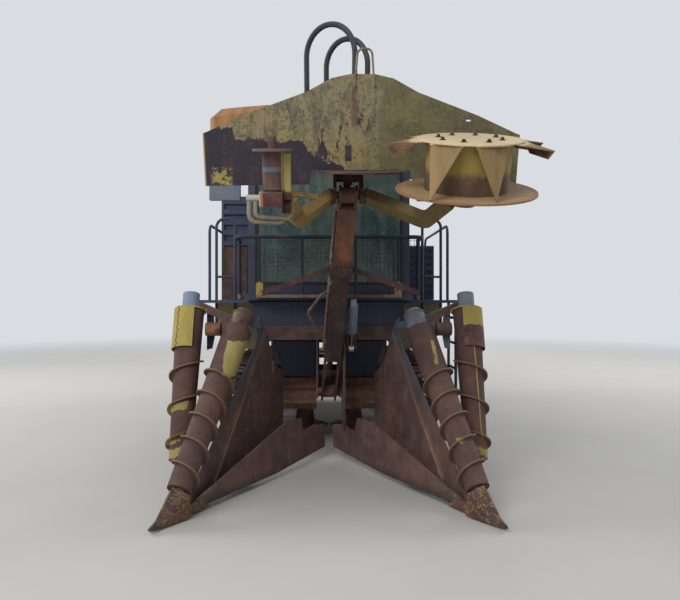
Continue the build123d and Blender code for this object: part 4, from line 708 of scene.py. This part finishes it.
for side, hand in ((-1, "left"), (1, "right")):
    plate = Finish(f"divider_rust_{hand}", seed=36.0 + side)
    out, back, up = plate.axis("X") * side, plate.axis("Y") - toe_y, plate.axis("Z")
    toe = divider_place(side, (1.22, 0, 0))
    wall_direction = Vector((-side * 0.3593, 0.9332, 0))
    low_grime = (0.1 - up + plate.patch * 0.1).above(0.05, 0.04)
    scrape = (plate.noise(9, 3.0, 0.6, stretch=(1, 0.15, 1)) * 0.7 + plate.grain * 0.3).above(0.56, 0.02)
    toe_zone = back.below(0.5, 0.1) * up.between(0.04, 0.2, 0.02)
    wall_top = up.above(1.2, 0.02) * out.below(0.86, 0.01)
    wall_run = plate.along(toe, wall_direction)
    edge_strip = (wall_run - up).between(0.33, 0.43, 0.01) * (up + plate.patch * 0.3).above(0.8, 0.06)
    edge_strip = edge_strip * plate.patch.above(0.38, 0.06) * out.below(1.05, 0.02)
    tube_top = toe + wall_direction * 1.33 + Vector((0, 0, 0.815))
    tube_foot = toe + wall_direction * 0.79 + Vector((0, 0, 0.13))
    tube = plate.off_axis(tube_top, (tube_top - tube_foot).normalized()).below(0.03, 0.004)
    inner_end, inner_line = scroll_line(side, inner_foot, inner_top)[1:]
    outer_end, outer_line = scroll_line(side, outer_foot, outer_top)[1:]
    inner_cap = plate.off_axis(inner_end, inner_line).below(0.075, 0.002)
    inner_cap = inner_cap * plate.along(inner_end, inner_line).above(0)
    outer_reach = plate.off_axis(outer_end, outer_line)
    outer_height = plate.along(outer_end, outer_line)
    outer_cap = outer_reach.below(0.08, 0.002) * outer_height.above(0.021, 0.001)
    cowl = outer_reach.between(0.125, 0.145, 0.003) * outer_height.between(-0.36, 0.03, 0.002)
    plate_side = abs(back - 1.33).below(0.014, 0.002) * up.above(1.145, 0.003) * out.above(1.0, 0.003)
    motor = up.between(1.275, 1.405, 0.003) * out.between(0.955, 1.1, 0.002)
    motor = motor * back.between(1.19, 1.322, 0.002)
    cowl_yellow = plate.paint("b09a4e", "8f8048")
    if side < 0:
        split = plate.along(inner_end, (1, 0, 0)) + plate.patch * 0.02
        brown = plate.rust(dark="4a3530", mid="7a5a48")
        cap_colour = plate.mix(split.above(0.0, 0.008), plate.paint("83804f", "6b6a48"), brown)
        outer_colour = plate.paint("8290a6", "727d8e")
        seam = abs(out - 1.3 - up.zigzag(0.028) * 0.6).below(0.004, 0.002)
        cowl_colour = plate.mix(seam, plate.flaked(0.12, cowl_yellow, plate.rust()), "17130f")
        side_colour = plate.paint("2c353f", "2a3036")
        motor_colour = plate.rust(dark="5e3b2a", mid="93603c", light="a8754e")
    else:
        cap_colour = plate.flaked(0.2, plate.paint("7e8896", "646a72"), plate.rust())
        outer_colour = plate.flaked(0.2, plate.paint("8d939b", "6d7178"), plate.rust())
        left_over = (outer_height + plate.patch * 0.12).above(-0.1, 0.006)
        cowl_colour = plate.mix(left_over, plate.rust(), cowl_yellow)
        side_colour = plate.paint("7b828b", "5f646a")
        motor_colour = plate.rust(dark="4c3a36", mid="70564a")
    colour = plate.layered(
        plate.rust(dark="54403d", mid="6c5049", light="846755", orange="80573f"),
        (low_grime * 0.75, plate.mix(plate.patch.above(0.5, 0.1), "2f2b25", "454432")),
        (toe_zone * scrape, plate.paint("a9924c", "85743f")),
        (wall_top * plate.patch.above(0.36, 0.05), plate.paint("4d5766", "5d5650")),
        (edge_strip * 0.85, plate.paint("4a5460", "565352")),
        (tube * 0.7, plate.rust(dark="6a5246", mid="8b6f5c", light="a08470")),
        (inner_cap, cap_colour),
        (outer_cap, outer_colour),
        (cowl, cowl_colour),
        (plate_side, side_colour),
        (motor, motor_colour),
    )
    plate.outdoors(colour, 0.74, dust=0.18, tone="7d7168")
    dress(plate, f"divider_{hand}")

# Toe shoes and cap sleeves
# A folded rusty shoe with veins of old paint runs from each toe tip up to the inner scroll's foot, and a
# bolted sleeve sits round each inner scroll's upper bearing.
shoe_hulls = (
    # the upper hull in front of the scroll's foot, then the low tail that meets the wing
    ((1.224, 0.006, 0.012), (1.105, 0.178, 0.275), (1.166, 0.277, 0.199), (1.002, 0.233, 0.199),
     (1.172, 0.290, 0.015), (1.000, 0.300, 0.015)),
    ((1.224, 0.006, 0.012), (1.000, 0.280, 0.120), (0.930, 0.500, 0.070), (0.915, 0.520, 0.015),
     (1.080, 0.520, 0.015), (1.100, 0.400, 0.070), (1.205, 0.120, 0.015)),
)
sleeve_middle, sleeve_length, rounded_from = 0.103, 0.19, 0.15
band_heights, band_radius, band_width = (0.02, 0.178), 0.1, 0.012
sleeve_bolts, bolt_height, bolt_reach = 6, 0.05, 0.0965
for side, hand in ((-1, "left"), (1, "right")):
    shoe = bmesh.new()
    for places in shoe_hulls:
        corners = [shoe.verts.new(divider_place(side, place)) for place in places]
        hull = bmesh.ops.convex_hull(shoe, input=corners)
        edges = [item for item in hull["geom"] if isinstance(item, bmesh.types.BMEdge)]
        bmesh.ops.bevel(shoe, geom=edges, offset=0.004, segments=2, profile=0.5, affect="EDGES", material=-1)
    shoe_finish = Finish(f"toe_shoe_{hand}", seed=50.0 + side)
    shoe_colour = shoe_finish.rust(dark="4a3733", mid="6d4e43", light="8a6a58")
    veins = abs(shoe_finish.noise(11, 3.0, 0.55, stretch=(1, 0.6, 1), bend=0.6) - 0.5).below(0.013, 0.006)
    kept = shoe_finish.broad.above(0.42, 0.06)
    shoe_colour = shoe_finish.mix(veins * kept * 0.8, shoe_colour, shoe_finish.paint("a98f4e", "7d6a3c"))
    shoe_finish.outdoors(shoe_colour, 0.7, dust=0.2)
    piece(f"toe_shoe_{hand}", shoe, shoe_finish, f"divider_{hand}")

    high, line = scroll_line(side, inner_foot, inner_top)[1:]
    turn = line.to_track_quat("Z", "Y").to_matrix().to_4x4()
    sleeve = bmesh.new()
    wall = {"radius1": 0.097, "radius2": 0.092, "depth": sleeve_length}
    spot = Matrix.Translation(high + line * sleeve_middle) @ turn
    bmesh.ops.create_cone(sleeve, cap_ends=True, segments=40, matrix=spot, **wall)
    upper = {vert for vert in sleeve.verts if (vert.co - high).dot(line) > rounded_from}
    tops = [edge for edge in sleeve.edges if upper.issuperset(edge.verts)]
    bmesh.ops.bevel(sleeve, geom=tops, offset=0.012, segments=3, profile=0.5, affect="EDGES", material=-1)
    for height in band_heights:
        band = {"radius1": band_radius, "radius2": band_radius, "depth": band_width}
        spot = Matrix.Translation(high + line * height) @ turn
        bmesh.ops.create_cone(sleeve, cap_ends=True, segments=40, matrix=spot, **band)
    sideways = line.cross(Vector((0, 0, 1))).normalized()
    for index in range(sleeve_bolts):
        angle = 2 * pi * index / sleeve_bolts
        outward = sideways * cos(angle) + line.cross(sideways) * sin(angle)
        bolt_heads(sleeve, [high + line * bolt_height + outward * bolt_reach], outward, radius=0.009)
    sleeve_finish = Finish(f"sleeve_{hand}", seed=53.0 + side)
    brown = sleeve_finish.rust(dark="4a3530", mid="6e5244")
    if side < 0:
        split = sleeve_finish.along(high, (1, 0, 0)) + sleeve_finish.patch * 0.02
        left_over = sleeve_finish.paint("6f6b4c", "5c5744")
        sleeve_colour = sleeve_finish.mix(split.above(0.0, 0.008), left_over, brown)
    else:
        sleeve_colour = sleeve_finish.flaked(0.25, sleeve_finish.paint("737c8a", "5d636c"), brown)
    sleeve_finish.outdoors(sleeve_colour, 0.68, dust=0.15)
    piece(f"cap_sleeve_{hand}", sleeve, sleeve_finish, f"divider_{hand}")

# Scrolls
# Tapered drums with one welded flight each. The rust is even, and the flights' rims and a few ragged patches
# keep old paint.
scroll_sizes = {
    # foot and top of the axis, radius at the foot and at the top
    "inner": (inner_foot, inner_top, 0.088, 0.125),
    "outer": (outer_foot, outer_top, 0.088, 0.122),
}
patch_table = {
    # seed of the finish, then of each patch: lowest and highest place, from x, to x, slope, share of paint
    "inner_left": (51.0, ((0.97, 1.25, -0.872, -0.70, 0.0, 0.85),)),
    "outer_left": (
        53.0,
        (
            (0.67, 0.73, -1.40, -1.17, 0.3, 0.8),
            (0.44, 0.48, -1.40, -1.14, 0.3, 0.55),
            (0.33, 0.40, -1.40, -1.12, 0.3, 0.8),
        ),
    ),
    "inner_right": (53.0, ((1.06, 1.26, 0.872, 0.905, 0.0, 0.8), (0.52, 0.56, 0.97, 1.01, 0.25, 0.8))),
    "outer_right": (53.0, ((0.47, 1.3, 1.246, 1.256, 0.0, 0.9), (0.33, 0.40, 1.10, 1.40, -0.3, 0.6))),
}
for scroll, (seed, patches) in patch_table.items():
    name, hand = scroll.split("_")
    side = -1 if hand == "left" else 1
    foot, top, foot_radius, top_radius = scroll_sizes[name]
    low, high, line = scroll_line(side, foot, top)
    steel = Finish(f"scroll_{scroll}", seed)
    across, up = steel.axis("X"), steel.axis("Z")
    colour = steel.rust(dark="493431", mid="5c4039", light="6f5044", orange="7d5038")
    for lowest, highest, from_x, to_x, slope, share in patches:
        tilted = up - (across - (from_x + to_x) / 2) * slope + (steel.patch - 0.5) * 0.12
        drift = 0.09 if to_x - from_x > 0.02 else 0.02
        sides = (across + (steel.patch - 0.5) * drift).between(from_x, to_x, 0.003)
        kept = (steel.patch * 0.6 + steel.grain * 0.4).above(0.64 - share * 0.28, 0.01)
        patch = tilted.between(lowest, highest, 0.004) * sides * kept
        colour = steel.mix(patch, colour, steel.paint("a89858", "857848"))
    local_radius = steel.along(low, line) * ((top_radius - foot_radius) / (high - low).length) + foot_radius
    height = steel.off_axis(low, line) - local_radius
    colour = steel.mix(height.above(0.006, 0.003) * 0.4, colour, steel.paint("64552f", "4f3e30"))
    colour = steel.mix(height.above(0.028, 0.002) * 0.4, colour, "7d6e45")
    steel.outdoors(colour, 0.72, dust=0.15)
    dress(steel, f"scroll_{scroll}")
